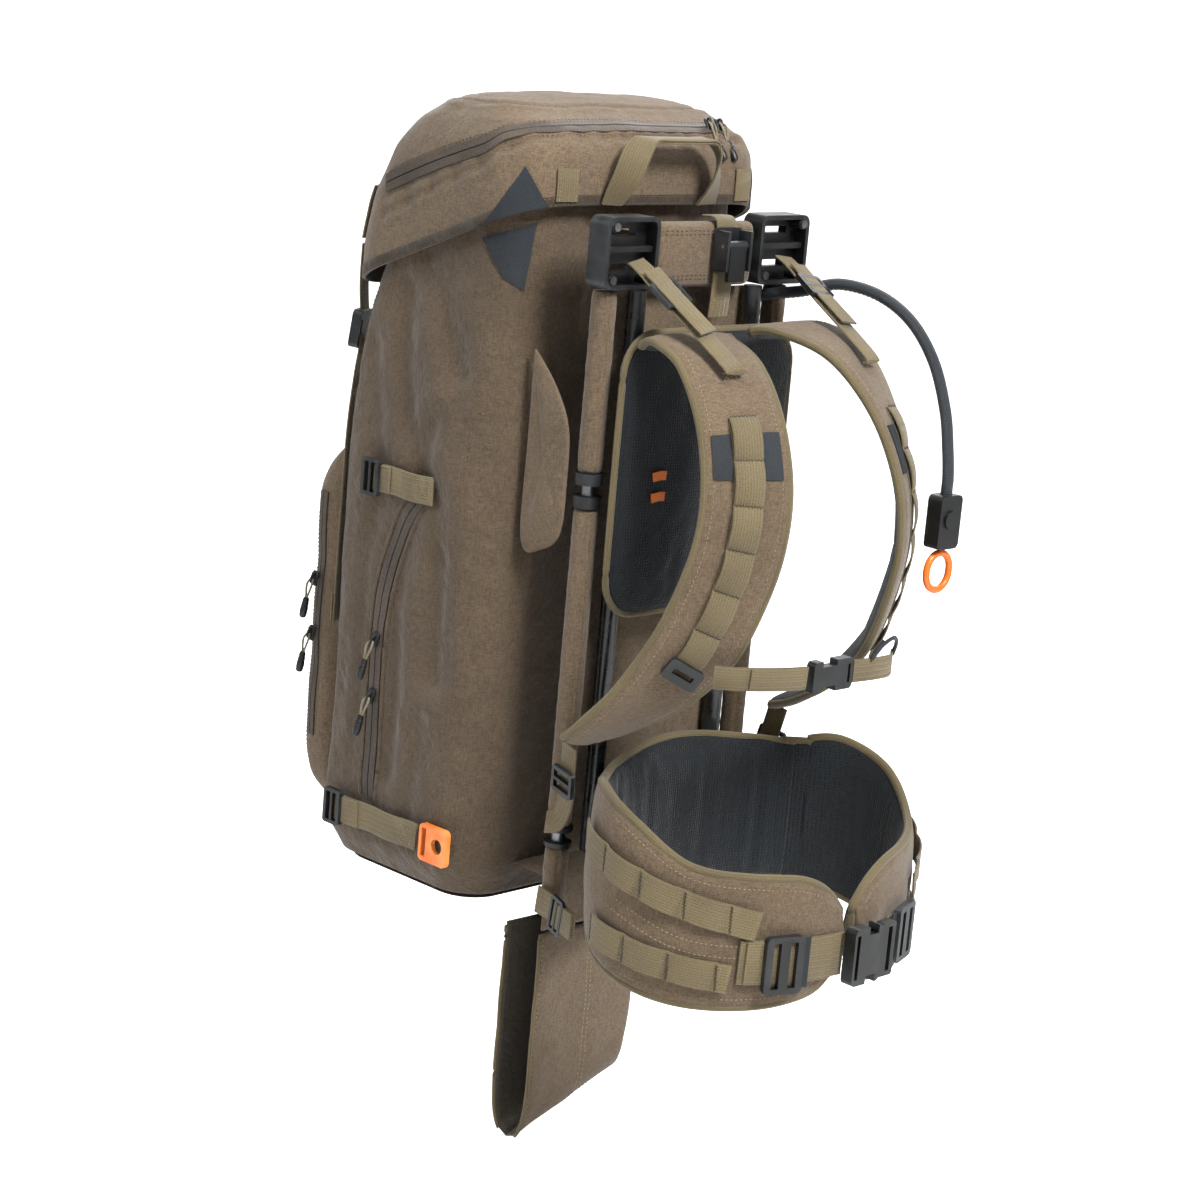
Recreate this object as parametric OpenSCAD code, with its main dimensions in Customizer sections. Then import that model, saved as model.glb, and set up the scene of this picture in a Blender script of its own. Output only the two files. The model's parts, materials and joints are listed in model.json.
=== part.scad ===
// Hunting backpack on an external tube frame, with a lid, a harness and a drop-down boot.
// Wearer's side faces -Y, +X is the wearer's right. The origin is inside the top of the haul loop.
// Parts are drawn from the bag's base (z = 0) and its back wall (y = 0), then moved by hung().

/* [Bag] */
// Width of the main bag
bag_w = 300; // [260:5:320]
// Depth of the main bag at its middle
bag_d = 228; // [200:2:240]
// Height of the main bag up to its open top
bag_h = 632; // [600:2:640]
// Thickness of the bag's padded wall
bag_wall = 6; // [4:1:8]
// How far the front pocket stands out
pocket_out = 50; // [30:5:60]

/* [Lid] */
// Height of the lid's crown above the bag's base
lid_top = 704; // [696:1:716]
// Thickness of the lid's fabric and lining
lid_wall = 5; // [3:1:6]

/* [Frame] */
// Half the distance between the two outer posts
post_x = 106; // [100:1:110]
// Radius of a post in its fabric sleeve
post_r = 11; // [8:0.5:12]
// Half the distance between the two inner stays
stay_x = 72; // [66:1:76]
// Radius of an inner stay
stay_r = 8; // [5:0.5:9]

/* [Harness] */
// Thickness of a shoulder strap
strap_t = 14; // [10:1:16]
// Width of a shoulder strap over the chest
strap_w = 74; // [60:2:80]
// Half the width of the hip belt's loop
belt_a = 160; // [150:1:165]
// Half the depth of the hip belt's loop
belt_b = 107; // [100:1:110]
// Thickness of a hip belt wing
belt_t = 16; // [12:1:18]

/* [Hidden] */

tan = [0.58, 0.50, 0.43];
khaki = [0.63, 0.57, 0.43];
black = [0.10, 0.12, 0.13];
mesh = [0.12, 0.14, 0.16];
orange = [0.95, 0.50, 0.12];
steel = [0.75, 0.76, 0.78];
zip_grey = [0.42, 0.37, 0.33];

// The hang point, from the bag's base and back wall
hang_y = -35;
hang_z = 678;

// Clearance between pieces that lie on each other
gap = 0.6;
web_t = 2.4;
web_w = 25;

// ---------- shared functions ----------

function unit(v) = v / norm(v);
function mix(a, b, t) = a + (b - a) * t;
function catmull(a, b, c, d, t) =
  0.5 * (2 * b + (c - a) * t + (2 * a - 5 * b + 4 * c - d) * t * t + (3 * b - a - 3 * c + d) * t * t * t);

// A smooth run through the points p, with n steps between each two
function smooth(p, n) = [
  for (i = [0 : len(p) - 2])
    for (k = [0 : (i == len(p) - 2 ? n : n - 1)])
      catmull(p[max(i - 1, 0)], p[i], p[i + 1], p[min(i + 2, len(p) - 1)], k / n)
];

function tangent(p, i) = unit(p[min(i + 1, len(p) - 1)] - p[max(i - 1, 0)]);

// A flat section with eased corners, a wide and b thick
function flat_section(a, b) =
  let (c = min(a, b) * 0.3, x = a / 2, y = b / 2)
  [[c - x, -y], [x - c, -y], [x, c - y], [x, y - c], [x - c, y], [c - x, y], [-x, y - c], [-x, c - y]];

function round_section(r, sides) = [for (i = [0 : sides - 1]) r * [cos(i * 360 / sides), sin(i * 360 / sides)]];

// Section points placed at c, with width along side and travel along t
function placed_ring(sec, c, side, t) =
  let (w = unit(side - (side * t) * t), n = cross(t, w))
  [for (s = sec) c + s[0] * w + s[1] * n];

// A rounded rectangle ring: x half-width, y from y0 to y1, corner r, tilted about its middle
function box_ring(z, hw, y0, y1, r, tilt = 0, steps = 6) =
  let (mid = (y0 + y1) / 2)
  [
    for (q = [0 : 3])
      for (k = [0 : steps])
        let (
          a = q * 90 + k * 90 / steps,
          sx = (q == 0 || q == 3) ? 1 : -1,
          sy = q < 2 ? 1 : -1,
          x = sx * (hw - r) + r * cos(a),
          y = (sy > 0 ? y1 - r : y0 + r) + r * sin(a)
        )
        [x, y, z + tilt * (y - mid)]
  ];

// ---------- shared shapes ----------

// Moves a part from the bag's own corner to the row's frame
module hung() {
  translate([0, -hang_y, -hang_z])
    children();
}

// A closed skin over rings that all have the same number of points
module skin(rings) {
  n = len(rings[0]);
  m = len(rings);
  polyhedron(
    points = [for (r = rings) each r],
    faces = concat(
      [[for (j = [0 : n - 1]) j]],
      [[for (j = [n - 1 : -1 : 0]) (m - 1) * n + j]],
      [
        for (i = [0 : m - 2])
          for (j = [0 : n - 1])
            for (half = [0, 1])
              let (a = i * n + j, b = i * n + (j + 1) % n)
              half == 0 ? [a + n, b + n, b] : [a + n, b, a]
      ]
    ),
    convexity = 6
  );
}

// A flat band along the path p; side is its width direction, widths one value or one a point
module band(p, side, widths, thick) {
  skin([
    for (i = [0 : len(p) - 1])
      placed_ring(
        flat_section(is_list(widths) ? widths[i] : widths, thick),
        p[i],
        is_list(side[0]) ? side[i] : side,
        tangent(p, i)
      )
  ]);
}

// Places a child on a band at its point i: X along the width, -Y out of the face, Z back along the run
module on_band(p, side, i, out) {
  t = tangent(p, i);
  d = is_list(side[0]) ? side[i] : side;
  w = unit(d - (d * t) * t);
  n = cross(t, w);
  c = p[i] + out * n;
  multmatrix([
    [w[0], -n[0], -t[0], c[0]],
    [w[1], -n[1], -t[1], c[1]],
    [w[2], -n[2], -t[2], c[2]]
  ])
    children();
}

module mirrored() {
  children();
  mirror([1, 0, 0])
    children();
}

// A flat plate w by h by t with a rounded outline, standing in the XZ plane
module plate(w, h, t, r) {
  rotate([90, 0, 0])
    translate([0, 0, -t / 2])
      linear_extrude(t)
        union() {
          square([w - 2 * r, h], center = true);
          square([w, h - 2 * r], center = true);
          for (x = [-1, 1], y = [-1, 1])
            translate([x * (w / 2 - r), y * (h / 2 - r)])
              circle(r, $fn = 24);
        }
}

// A strap adjuster: a plate with two slots and a bar between them
module triglide(w, h, t) {
  slot = h * 0.27;
  difference() {
    plate(w + 8, h, t, 3);
    for (s = [-1, 1])
      translate([0, 0, s * h * 0.2])
        cube([w + 1.5, t + 2, slot], center = true);
  }
}

// A zip slider with its cord pull and barrel; the pull hangs along -Z and stands out along -Y
slider_h = 13;
module zip_slider() {
  plate(9, slider_h, 4, 3);
  translate([0, -5.4, 0])
    rotate([0, 90, 0])
      cylinder(h = 3, r = 3.4, center = true, $fn = 24);
  translate([0, -5.4, -19])
    cylinder(h = 17, r = 1.5, $fn = 16);
  translate([0, -5.4, -37])
    cylinder(h = 18, r = 3.4, $fn = 24);
}

// ---------- bag ----------

side_x = bag_w / 2;
function bag_rings(off) = [
  box_ring(-off, side_x - 22 + off, 20 - off, bag_d - 24 + off, 36),
  box_ring(16 - off / 2, side_x - 6 + off, 6 - off, bag_d - 6 + off, 44),
  box_ring(46, side_x + off, -off, bag_d + off, 50 + off),
  box_ring(200, side_x + off, -off, bag_d + off, 50 + off),
  box_ring(380, side_x + off, -off, bag_d + off, 50 + off),
  box_ring(500, side_x - 3 + off, -off, bag_d - 16 + off, 50 + off, -0.05),
  box_ring(bag_h - 46, side_x - 8 + off, -off, bag_d - 28 + off, 50 + off, -0.42)
];
bag_z = [0, 16, 46, 200, 380, 500, bag_h - 46];

// The point i of the bag's ring at height z, pushed out by off
function bag_point(z, i, off) =
  let (
    k = max([for (j = [0 : len(bag_z) - 2]) z >= bag_z[j] ? j : 0]),
    r = bag_rings(off)
  )
  mix(r[k][i], r[k + 1][i], (z - bag_z[k]) / (bag_z[k + 1] - bag_z[k]));

module main_bag() {
  inner = bag_rings(-bag_wall);
  hung()
    color(tan)
      skin(concat(bag_rings(0), [for (i = [len(inner) - 1 : -1 : 0]) inner[i]]));
}

module base_panel() {
  hung()
    color(tan)
      skin([
        box_ring(-4, side_x - 34, 30, bag_d - 36, 30),
        box_ring(-gap, side_x - 26, 24, bag_d - 28, 34)
      ]);
}

pocket_hw = 118;
pocket_y = bag_d + pocket_out;
module front_pocket() {
  y0 = bag_d + gap;
  hung()
    color(tan)
      skin([
        box_ring(26, pocket_hw - 22, y0, pocket_y - 34, 6),
        box_ring(44, pocket_hw - 6, y0, pocket_y - 10, 14),
        box_ring(80, pocket_hw, y0, pocket_y, 20),
        box_ring(330, pocket_hw, y0, pocket_y, 20),
        box_ring(362, pocket_hw - 6, y0, pocket_y - 16, 14),
        box_ring(378, pocket_hw - 20, y0, pocket_y - 34, 6)
      ]);
}

// Padded wings that close the rifle channel, and the two webs that join bag and frame
wing_y = -52;
module channel_wings() {
  hung()
    color(tan) {
      mirrored()
        translate([-side_x + 26, 0, 0])
          rotate([90, 0, 90])
            linear_extrude(10)
              polygon([[-3, 500], [wing_y, 440], [wing_y, 345], [-30, 330], [-3, 330]]);
      translate([-92, -60.2, 600])
        cube([184, 56.2, 4]);
      translate([-90, -55, 31])
        cube([180, 54, 6]);
    }
}

// ---------- lid ----------

lid_x = side_x + 4;
lid_z = [572, 600, 634, 664, 684, 697, lid_top];
lid_tilt = [-0.42, -0.36, -0.28, -0.16, -0.08, -0.03, 0];
lid_x_in = [0, 0, 2, 8, 18, 30, 48];
lid_back = [-16, -16, -14, -4, 14, 34, 60];
lid_front = [222, 222, 214, 196, 170, 144, 120];
lid_corner = [54, 54, 54, 50, 44, 36, 26];
function lid_ring(k, off) = box_ring(
  lid_z[k] + off * k / 6, lid_x - lid_x_in[k] + off, lid_back[k] - off, lid_front[k] + off,
  lid_corner[k] + off, lid_tilt[k]
);

// The point i of the lid at level t, from 0 at the hem to 6 at the crown
function lid_point(t, i, off) =
  let (k = min(floor(t), 5))
  mix(lid_ring(k, off)[i], lid_ring(k + 1, off)[i], t - k);

module lid_hood() {
  hung()
    color(tan)
      skin(concat(
        [for (k = [6 : -1 : 0]) lid_ring(k, -lid_wall)],
        [for (k = [0 : 6]) lid_ring(k, 0)]
      ));
}

// The zip climbs from the left side and runs straight across the back
zip_w = 0.34;
zip_in = 1.6;
zip_out = 3.2;
zip_level = [2.1, 2.6, 2.9, 3.1, 3.25, 3.35, 3.4, 3.4, 3.4, 3.4];
zip_turn = [0.5, 1, 2, 3, 4, 5, 6, 7, 8, 9];
function lid_edge(t, u, off) = u < 1
  ? mix(lid_point(t, 13, off), lid_point(t, 14, off), u)
  : lid_point(t, 13 + u, off);
module lid_zip() {
  hung()
    color(zip_grey)
      skin([
        for (i = [0 : len(zip_turn) - 1])
          let (u = zip_turn[i], a = zip_level[i], b = a + zip_w)
          [
            lid_edge(a, u, zip_out), lid_edge(b, u, zip_out),
            lid_edge(b, u, zip_in), lid_edge(a, u, zip_in)
          ]
      ]);
}

// A slider lies on the lid's slope, and its pull hangs clear of the lid's back
lid_slider_x = 80;
lid_slider_at = lid_edge(3.4 + zip_w / 2, 7, 5.8);
lid_slope = 61;
pull_y = -20;
pull_top = 676;
module lid_slider(x) {
  top = [0, lid_slider_at[1] - 4, lid_slider_at[2] + 2];
  drop = [0, pull_y, pull_top] - top;
  hung()
    color(black)
      translate([x, 0, 0]) {
        translate([0, lid_slider_at[1], lid_slider_at[2]])
          rotate([-lid_slope, 0, 0])
            plate(9, slider_h, 4, 3);
        translate(top)
          rotate([acos(drop[2] / norm(drop)), 0, 0])
            cylinder(h = norm(drop), r = 1.5, $fn = 16);
        translate([0, pull_y, pull_top - 19])
          cylinder(h = 20, r = 3.4, $fn = 24);
      }
}
module lid_slider_moving() {
  lid_slider(lid_slider_x);
}
module lid_slider_parked() {
  lid_slider(lid_slider_x + 14);
}

// Webbing legs sewn at the hem, turning into a flat bar on top
loop_leg = [
  [-58, -18.5, 622], [-57, -25, 634], [-54, -32, 650], [-50, -35, 666], [-40, -35, 678.2], [-24, -35, 679.2]
];
module haul_loop() {
  leg = smooth(loop_leg, 4);
  last = len(leg) - 1;
  turn = [for (i = [0 : last]) let (a = 90 * i / last) [cos(a), -sin(a), 0]];
  back = [last : -1 : 0];
  hung()
    color(khaki)
      band(
        concat(leg, [for (i = back) [-leg[i][0], leg[i][1], leg[i][2]]]),
        concat(turn, [for (i = back) [-turn[i][0], turn[i][1], 0]]),
        web_w, web_t
      );
}

// Two straps hold the lid's front down to the bag
strap_i = 9;
module lid_straps() {
  hung()
    color(khaki)
      mirrored()
        band(
          concat([for (t = [1.5 : -0.5 : 0]) lid_point(t, strap_i, 1.2 + gap)], [bag_point(519, strap_i, 12)]),
          [0.87, 0.5, 0], 20, web_t
        );
}
module lid_buckles() {
  p = bag_point(488, strap_i, 9);
  hung()
    color(black)
      mirrored()
        translate(p)
          rotate([6, 0, 30])
            difference() {
              plate(30, 34, 9, 5);
              for (s = [-1, 1])
                translate([s * 12, 0, 2])
                  cube([4, 12, 14], center = true);
            }
}
module lid_tails() {
  hung()
    color(khaki)
      mirrored()
        band(
          concat([bag_point(468, strap_i, 6)], [for (z = [446 : -30 : 206]) bag_point(z, strap_i, 2.6)]),
          [0.87, 0.5, 0], 20, web_t
        );
}

// ---------- side and pocket zips ----------

side_zip_y = 135;
side_upper_z = 216;
side_lower_z = 164;
module side_zip() {
  run = [[0, 135, 80], [0, 135, 150], [0, 135, 220], [0, 130, 270], [0, 118, 310], [0, 104, 338]];
  hung()
    color(zip_grey)
      band([for (p = smooth(run, 4)) p + [-side_x - gap - 1, 0, 0]], [0, 1, 0], 16, 2);
}
module side_slider(z) {
  hung()
    color(black)
      translate([-side_x - gap - 4.6, side_zip_y, z])
        rotate([0, 0, -90])
          zip_slider();
}
module side_slider_upper() {
  side_slider(side_upper_z);
}
module side_slider_lower() {
  side_slider(side_lower_z);
}

pocket_zip_y = bag_d + 32;
pocket_upper_z = 242;
pocket_lower_z = 190;
module pocket_zip() {
  hung()
    color(zip_grey)
      translate([-pocket_hw - gap - 2, pocket_zip_y - 8, 88])
        cube([2, 16, 238]);
}
module pocket_slider(z) {
  hung()
    color(black)
      translate([-pocket_hw - gap - 4.6, pocket_zip_y, z])
        rotate([0, 0, -90])
          zip_slider();
}
module pocket_slider_upper() {
  pocket_slider(pocket_upper_z);
}
module pocket_slider_lower() {
  pocket_slider(pocket_lower_z);
}

// ---------- compression straps ----------

comp_x = side_x + 4.4;
upper_comp_z = 362;
lower_comp_z = 52;
module compression_straps() {
  hung()
    color(khaki)
      mirrored() {
        translate([-comp_x - web_t / 2, 74, upper_comp_z - 12.5])
          cube([web_t, 78, web_w]);
        translate([-comp_x - web_t / 2, 62, lower_comp_z - 12.5])
          cube([web_t, 114, web_w]);
      }
}
module triglides() {
  hung()
    color(black)
      mirrored() {
        for (p = [[upper_comp_z, 150], [lower_comp_z, 172]])
          translate([-comp_x - web_t / 2 - gap - 2.5, p[1], p[0]])
            rotate([0, -90, -90])
              triglide(web_w, 22, 5);
        on_band(stabiliser_path, [0, 0, 1], 7, web_t / 2 + gap + 1.6)
          triglide(web_w, 20, 3);
      }
}

// A moulded hook that clips the lower strap round a rifle's stock
clip_y = 56;
module orange_clip() {
  hung()
    color(orange)
      translate([-comp_x, clip_y - 18, lower_comp_z])
        rotate([0, 0, 90])
          difference() {
            plate(36, 34, 5, 5);
            translate([12, 0, 0])
              cube([6, 8, 26], center = true);
            translate([-5, 0, 0])
              rotate([90, 0, 0])
                cylinder(h = 8, r = 7, center = true, $fn = 32);
          }
}

// ---------- frame ----------

post_y = -66;
post_runs = [[20, 74], [93, 373], [404, 558]];
collar_z = [[74.5, 78.5], [88.5, 92.5], [373.5, 383.5], [393.5, 403.5]];
pin_z = [[79, 88], [384, 393]];
module post_sleeves() {
  hung()
    color(tan)
      mirrored()
        for (r = post_runs)
          translate([-post_x, post_y, r[0]])
            cylinder(h = r[1] - r[0], r = post_r, $fn = 48);
}
module post_collars() {
  hung()
    color(black)
      mirrored()
        for (r = collar_z)
          translate([-post_x, post_y, r[0]])
            cylinder(h = r[1] - r[0], r = post_r + 1.2, $fn = 48);
}
module post_pins() {
  hung()
    color(steel)
      mirrored()
        for (r = pin_z)
          translate([-post_x, post_y, r[0]])
            cylinder(h = r[1] - r[0], r = 6, $fn = 32);
}

stay_y = -71;
module frame_stays() {
  hung()
    color(black)
      mirrored()
        translate([-stay_x, stay_y, 66])
          cylinder(h = 492, r = stay_r, $fn = 40);
}

// Fabric panel between the posts, reaching down on the rifle's side to the boot's fold
module frame_panel() {
  hung()
    color(tan)
      translate([0, -56, 0])
        rotate([90, 0, 0])
          linear_extrude(4)
            polygon([[-94, 556], [94, 556], [94, 60], [24, 60], [24, -7], [-110, -7], [-110, 16], [-94, 16]]);
}

bar_z = 587;
bar_y = -72;
module crossbar() {
  hung()
    color(tan)
      translate([0, bar_y, bar_z])
        plate(120, 56, 18, 6);
}

// One moulded corner: a rimmed plate with two webbing slots and three screw bosses
bracket_hw = 31;
bracket_x = post_x - 12;
screw_at = [[-22, 22], [-22, -22], [22, -22]];
module bracket() {
  difference() {
    plate(2 * bracket_hw, 60, 22, 8);
    translate([0, -7, 0])
      difference() {
        plate(54, 52, 18, 5);
        translate([0, 10, 3])
          plate(54, 5, 20, 1);
        for (s = screw_at)
          translate([s[0], 0, s[1]])
            rotate([90, 0, 0])
              cylinder(h = 20, r = 4.6, center = true, $fn = 24);
      }
    for (z = [-13, 16])
      translate([0, 0, z])
        cube([30, 30, 6], center = true);
    for (s = screw_at)
      translate([s[0], 0, s[1]])
        rotate([90, 0, 0])
          cylinder(h = 40, r = 2.1, center = true, $fn = 24);
  }
}
module bracket_left() {
  hung()
    color(black)
      translate([-bracket_x, bar_y, bar_z + 3])
        bracket();
}
module bracket_right() {
  hung()
    color(black)
      mirror([1, 0, 0])
        translate([-bracket_x, bar_y, bar_z + 3])
          bracket();
}
module screws() {
  hung()
    color(steel)
      mirrored()
        for (s = screw_at)
          translate([-bracket_x + s[0], bar_y, bar_z + 3 + s[1]])
            rotate([90, 0, 0]) {
              translate([0, 0, -9])
                cylinder(h = 20.2, r = 2, $fn = 24);
              translate([0, 0, 11.2])
                cylinder(h = 1.8, r = 3.6, $fn = 24);
            }
}

// ---------- harness ----------

module back_pad() {
  hung()
    color(mesh)
      translate([0, -93.5, 404])
        plate(206, 240, 23, 34);
}

left_run = [
  [-56, -114, 520], [-60, -130, 522], [-66, -166, 508], [-74, -200, 470], [-82, -222, 420],
  [-86, -224, 372], [-92, -214, 325], [-102, -198, 280], [-116, -168, 236], [-128, -128, 200], [-133, -104, 184]
];
right_run = [
  [56, -114, 524], [62, -140, 530], [70, -186, 516], [78, -224, 474], [84, -248, 420],
  [86, -254, 372], [90, -244, 325], [98, -220, 275], [112, -180, 234], [126, -134, 200], [133, -104, 184]
];
strap_widths = [88, 84, 78, strap_w, strap_w, strap_w, strap_w, strap_w - 2, strap_w - 10, 52, 40];
strap_turns = [0, 8, 18, 28, 34, 36, 36, 36, 32, 22, 14];
strap_steps = 3;

// The width direction of a shoulder strap along its run; s is -1 on the left and 1 on the right
function strap_sides(s) =
  [for (v = smooth([for (a = strap_turns) [a, 0, 0]], strap_steps)) [cos(v[0]), s * sin(v[0]), 0]];
function strap_wide() = [for (v = smooth([for (w = strap_widths) [w, 0, 0]], strap_steps)) v[0]];

// Points on the strap's outer face: the band's own width and travel give the outward normal
function on_strap(run, s, out) =
  let (p = smooth(run, strap_steps), d = strap_sides(s))
  [
    for (i = [0 : len(p) - 1])
      let (t = tangent(p, i), w = unit(d[i] - (d[i] * t) * t))
      p[i] - out * cross(t, w)
  ];

module shoulder_strap(run, s) {
  band(smooth(run, strap_steps), strap_sides(s), strap_wide(), strap_t);
}
module shoulder_strap_left() {
  hung()
    color(tan)
      shoulder_strap(left_run, -1);
}
module shoulder_strap_right() {
  hung()
    color(tan)
      shoulder_strap(right_run, 1);
}

function part_of(v, a, b) = [for (i = [a : b]) v[i]];
web_out = strap_t / 2 + 1.4 + web_t / 2;
module daisy_webbing() {
  a = 9;
  b = 22;
  hung()
    color(khaki) {
      band(part_of(on_strap(left_run, -1, -web_out), a, b), part_of(strap_sides(-1), a, b), web_w, web_t);
      band(part_of(on_strap(right_run, 1, -web_out), a, b), part_of(strap_sides(1), a, b), web_w, web_t);
    }
}

// Webbing from the brackets to the shoulder straps; s is -1 on the left and 1 on the right
function lifter_path(run, s) =
  let (end = on_strap(run, s, -web_out - 1.6)[7], start = [s * 92, -84.8, 584])
  [
    start, mix(start, end, 0.12) + [0, 0, 2], mix(start, end, 0.34) + [0, 0, 2],
    mix(start, end, 0.94) + [0, -3, 3], end
  ];
module load_lifters() {
  hung()
    color(khaki)
      for (side = [[left_run, -1], [right_run, 1]])
        band(lifter_path(side[0], side[1]), [0.95, side[1] * 0.2, 0], 20, web_t);
}

// From each shoulder strap's end down to the post
lower_path = smooth(
  [[-133, -97, 176], [-129, -93, 150], [-124, -88, 122], [-122.6, -80, 104], [-122.2, -66, 98]], 4
);
lower_side = [0.15, 1, 0];
module lower_webbing() {
  hung()
    color(khaki)
      mirrored()
        band(lower_path, lower_side, 20, web_t);
}

// Strap adjusters of the load lifters and of the lower webbing
module ladder_locks() {
  hung()
    color(black) {
      for (side = [[left_run, -1], [right_run, 1]])
        on_band(lifter_path(side[0], side[1]), [0.95, side[1] * 0.2, 0], 2, web_t / 2 + gap + 2)
          triglide(20, 28, 4);
      mirrored()
        on_band(lower_path, lower_side, 5, -web_t / 2 - gap - 2.4)
          triglide(20, 24, 4);
    }
}

// ---------- sternum strap ----------

sternum_z = 258;
sternum_left = [[-100, -222, 262], [-84, -236, 262], [-50, -246, 260], [-16, -250, sternum_z]];
sternum_right = [[40, -253, sternum_z], [66, -256, 258], [90, -252, 257], [106, -240, 257]];
module sternum_webbing() {
  hung()
    color(khaki) {
      band(smooth(sternum_left, 4), [0, 0, 1], 20, web_t);
      band(smooth(sternum_right, 4), [0, 0, 1], 20, web_t);
    }
}
module sternum_sliders() {
  hung()
    color(black)
      for (side = [[left_run, -1], [right_run, 1]])
        on_band(smooth(side[0], strap_steps), strap_sides(side[1]), 22, web_out + web_t / 2 + gap + 2)
          difference() {
            plate(34, 20, 4, 4);
            cube([20, 8, 5], center = true);
          }
}
module side_release(w, h, t) {
  difference() {
    plate(w, h, t, 4);
    for (s = [-1, 1])
      translate([-w * 0.1, 0, s * h * 0.42])
        cube([w * 0.36, t + 2, h * 0.2], center = true);
    translate([w * 0.4, 0, 0])
      cube([3, t + 2, h * 0.6], center = true);
  }
}
module sternum_buckle() {
  hung()
    color(black)
      translate([12, -251, sternum_z])
        side_release(50, 27, 9);
}

// ---------- hip belt ----------

belt_y = -198;
function belt_out(f) = unit([sin(f) / belt_a, cos(f) / belt_b, 0]);
function belt_point(f, off, z) = [belt_a * sin(f), belt_y + belt_b * cos(f), z] + off * belt_out(f);

// A band standing on edge along the belt; keys hold the angle, top and bottom
module belt_band(keys, off, thick, steps = 3) {
  skin([
    for (v = smooth(keys, steps))
      let (out = belt_out(v[0]), c = belt_point(v[0], off, (v[1] + v[2]) / 2))
      [for (s = flat_section(v[1] - v[2], thick)) c + [0, 0, s[0]] - s[1] * out]
  ]);
}

wing_keys = [
  [56, 158, 24], [70, 160, 16], [95, 144, 4], [120, 116, -4], [145, 108, -6], [160, 104, -3], [170, 92, 4], [177, 72, 22]
];
module lumbar_pad() {
  hung()
    color(mesh)
      belt_band([[-50, 152, 26], [-30, 158, 24], [0, 166, 22], [30, 158, 24], [50, 152, 26]], 0, 20);
}
module belt_wing() {
  belt_band(wing_keys, 0, belt_t);
}
module belt_wing_right() {
  hung()
    color(tan)
      belt_wing();
}
module belt_wing_left() {
  hung()
    color(tan)
      mirror([1, 0, 0])
        belt_wing();
}

belt_web_out = belt_t / 2 + 1 + web_t / 2;
module molle() {
  belt_band([[66, 132, 107], [95, 112, 87], [120, 90, 65], [144, 82, 57]], belt_web_out, web_t);
  belt_band([[78, 58, 33], [95, 46, 21], [120, 36, 11], [142, 34, 9]], belt_web_out, web_t);
}
module molle_right() {
  hung()
    color(khaki)
      molle();
}
module molle_left() {
  hung()
    color(khaki)
      mirror([1, 0, 0])
        molle();
}

belt_web_z = 36;
module belt_webbing(f1) {
  belt_band([for (f = [148, 160, f1]) [f, belt_web_z + 19, belt_web_z - 19]], belt_web_out, web_t);
}
module belt_webbing_left() {
  hung()
    color(khaki)
      mirror([1, 0, 0])
        belt_webbing(176);
}
module belt_webbing_right() {
  hung()
    color(khaki)
      belt_webbing(162.5);
}

belt_ladder_f = 153;
module belt_ladder() {
  out = belt_out(belt_ladder_f);
  translate(belt_point(belt_ladder_f, belt_web_out + web_t / 2 + 4, belt_web_z))
    rotate([0, 0, asin(out[0])])
      difference() {
        plate(36, 50, 6, 5);
        for (s = [-1, 1])
          translate([s * 8, 0, 0])
            cube([7, 8, 39.5], center = true);
      }
}
module belt_ladder_right() {
  hung()
    color(black)
      belt_ladder();
}
module belt_ladder_left() {
  hung()
    color(black)
      mirror([1, 0, 0])
        belt_ladder();
}

// Side-release buckle at the front: the female half on the left wing, the male on the right
buckle_y = -326;
buckle_x = 2;
module buckle_female() {
  hung()
    color(black)
      translate([buckle_x, buckle_y, belt_web_z])
        difference() {
          plate(36, 50, 12, 5);
          translate([6, 0, 0])
            cube([26, 7, 38], center = true);
          translate([-13, 0, 0])
            cube([4, 14, 39], center = true);
          for (s = [-1, 1])
            translate([6, 0, s * 24])
              cube([12, 14, 12], center = true);
        }
}
module buckle_male() {
  hung()
    color(black)
      translate([buckle_x, buckle_y, belt_web_z]) {
        difference() {
          translate([28, 0, 0])
            plate(18, 48, 8, 3);
          translate([30, 0, 0])
            cube([5, 14, 39], center = true);
        }
        for (s = [-1, 0, 1])
          translate([10, 0, s * 13])
            cube([19, 5, s == 0 ? 7 : 8], center = true);
      }
}

stabiliser_path = smooth([[-119.4, -60, 26], [-120.5, -78, 24], [-125, -98, 21], [-130.6, -118, 20]], 4);
module stabiliser_straps() {
  hung()
    color(khaki)
      mirrored()
        band(stabiliser_path, [0, 0, 1], web_w, web_t);
}

// ---------- rifle release ----------

// The sleeve of the release cable, from the frame over the right shoulder to its handle
conduit_run = [
  [88, -66, 548], [89, -82, 552], [100, -104, 557], [112, -134, 567], [120, -172, 563], [123, -208, 546],
  [122, -238, 516], [117, -260, 478], [110, -273, 446], [105, -280, 426], [104, -281, 415], [104, -281, 407]
];
module release_conduit() {
  path = smooth(conduit_run, 3);
  hung()
    color(black)
      skin([for (i = [0 : len(path) - 1]) placed_ring(round_section(5, 12), path[i], [1, 0, 0], tangent(path, i))]);
}

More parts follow.
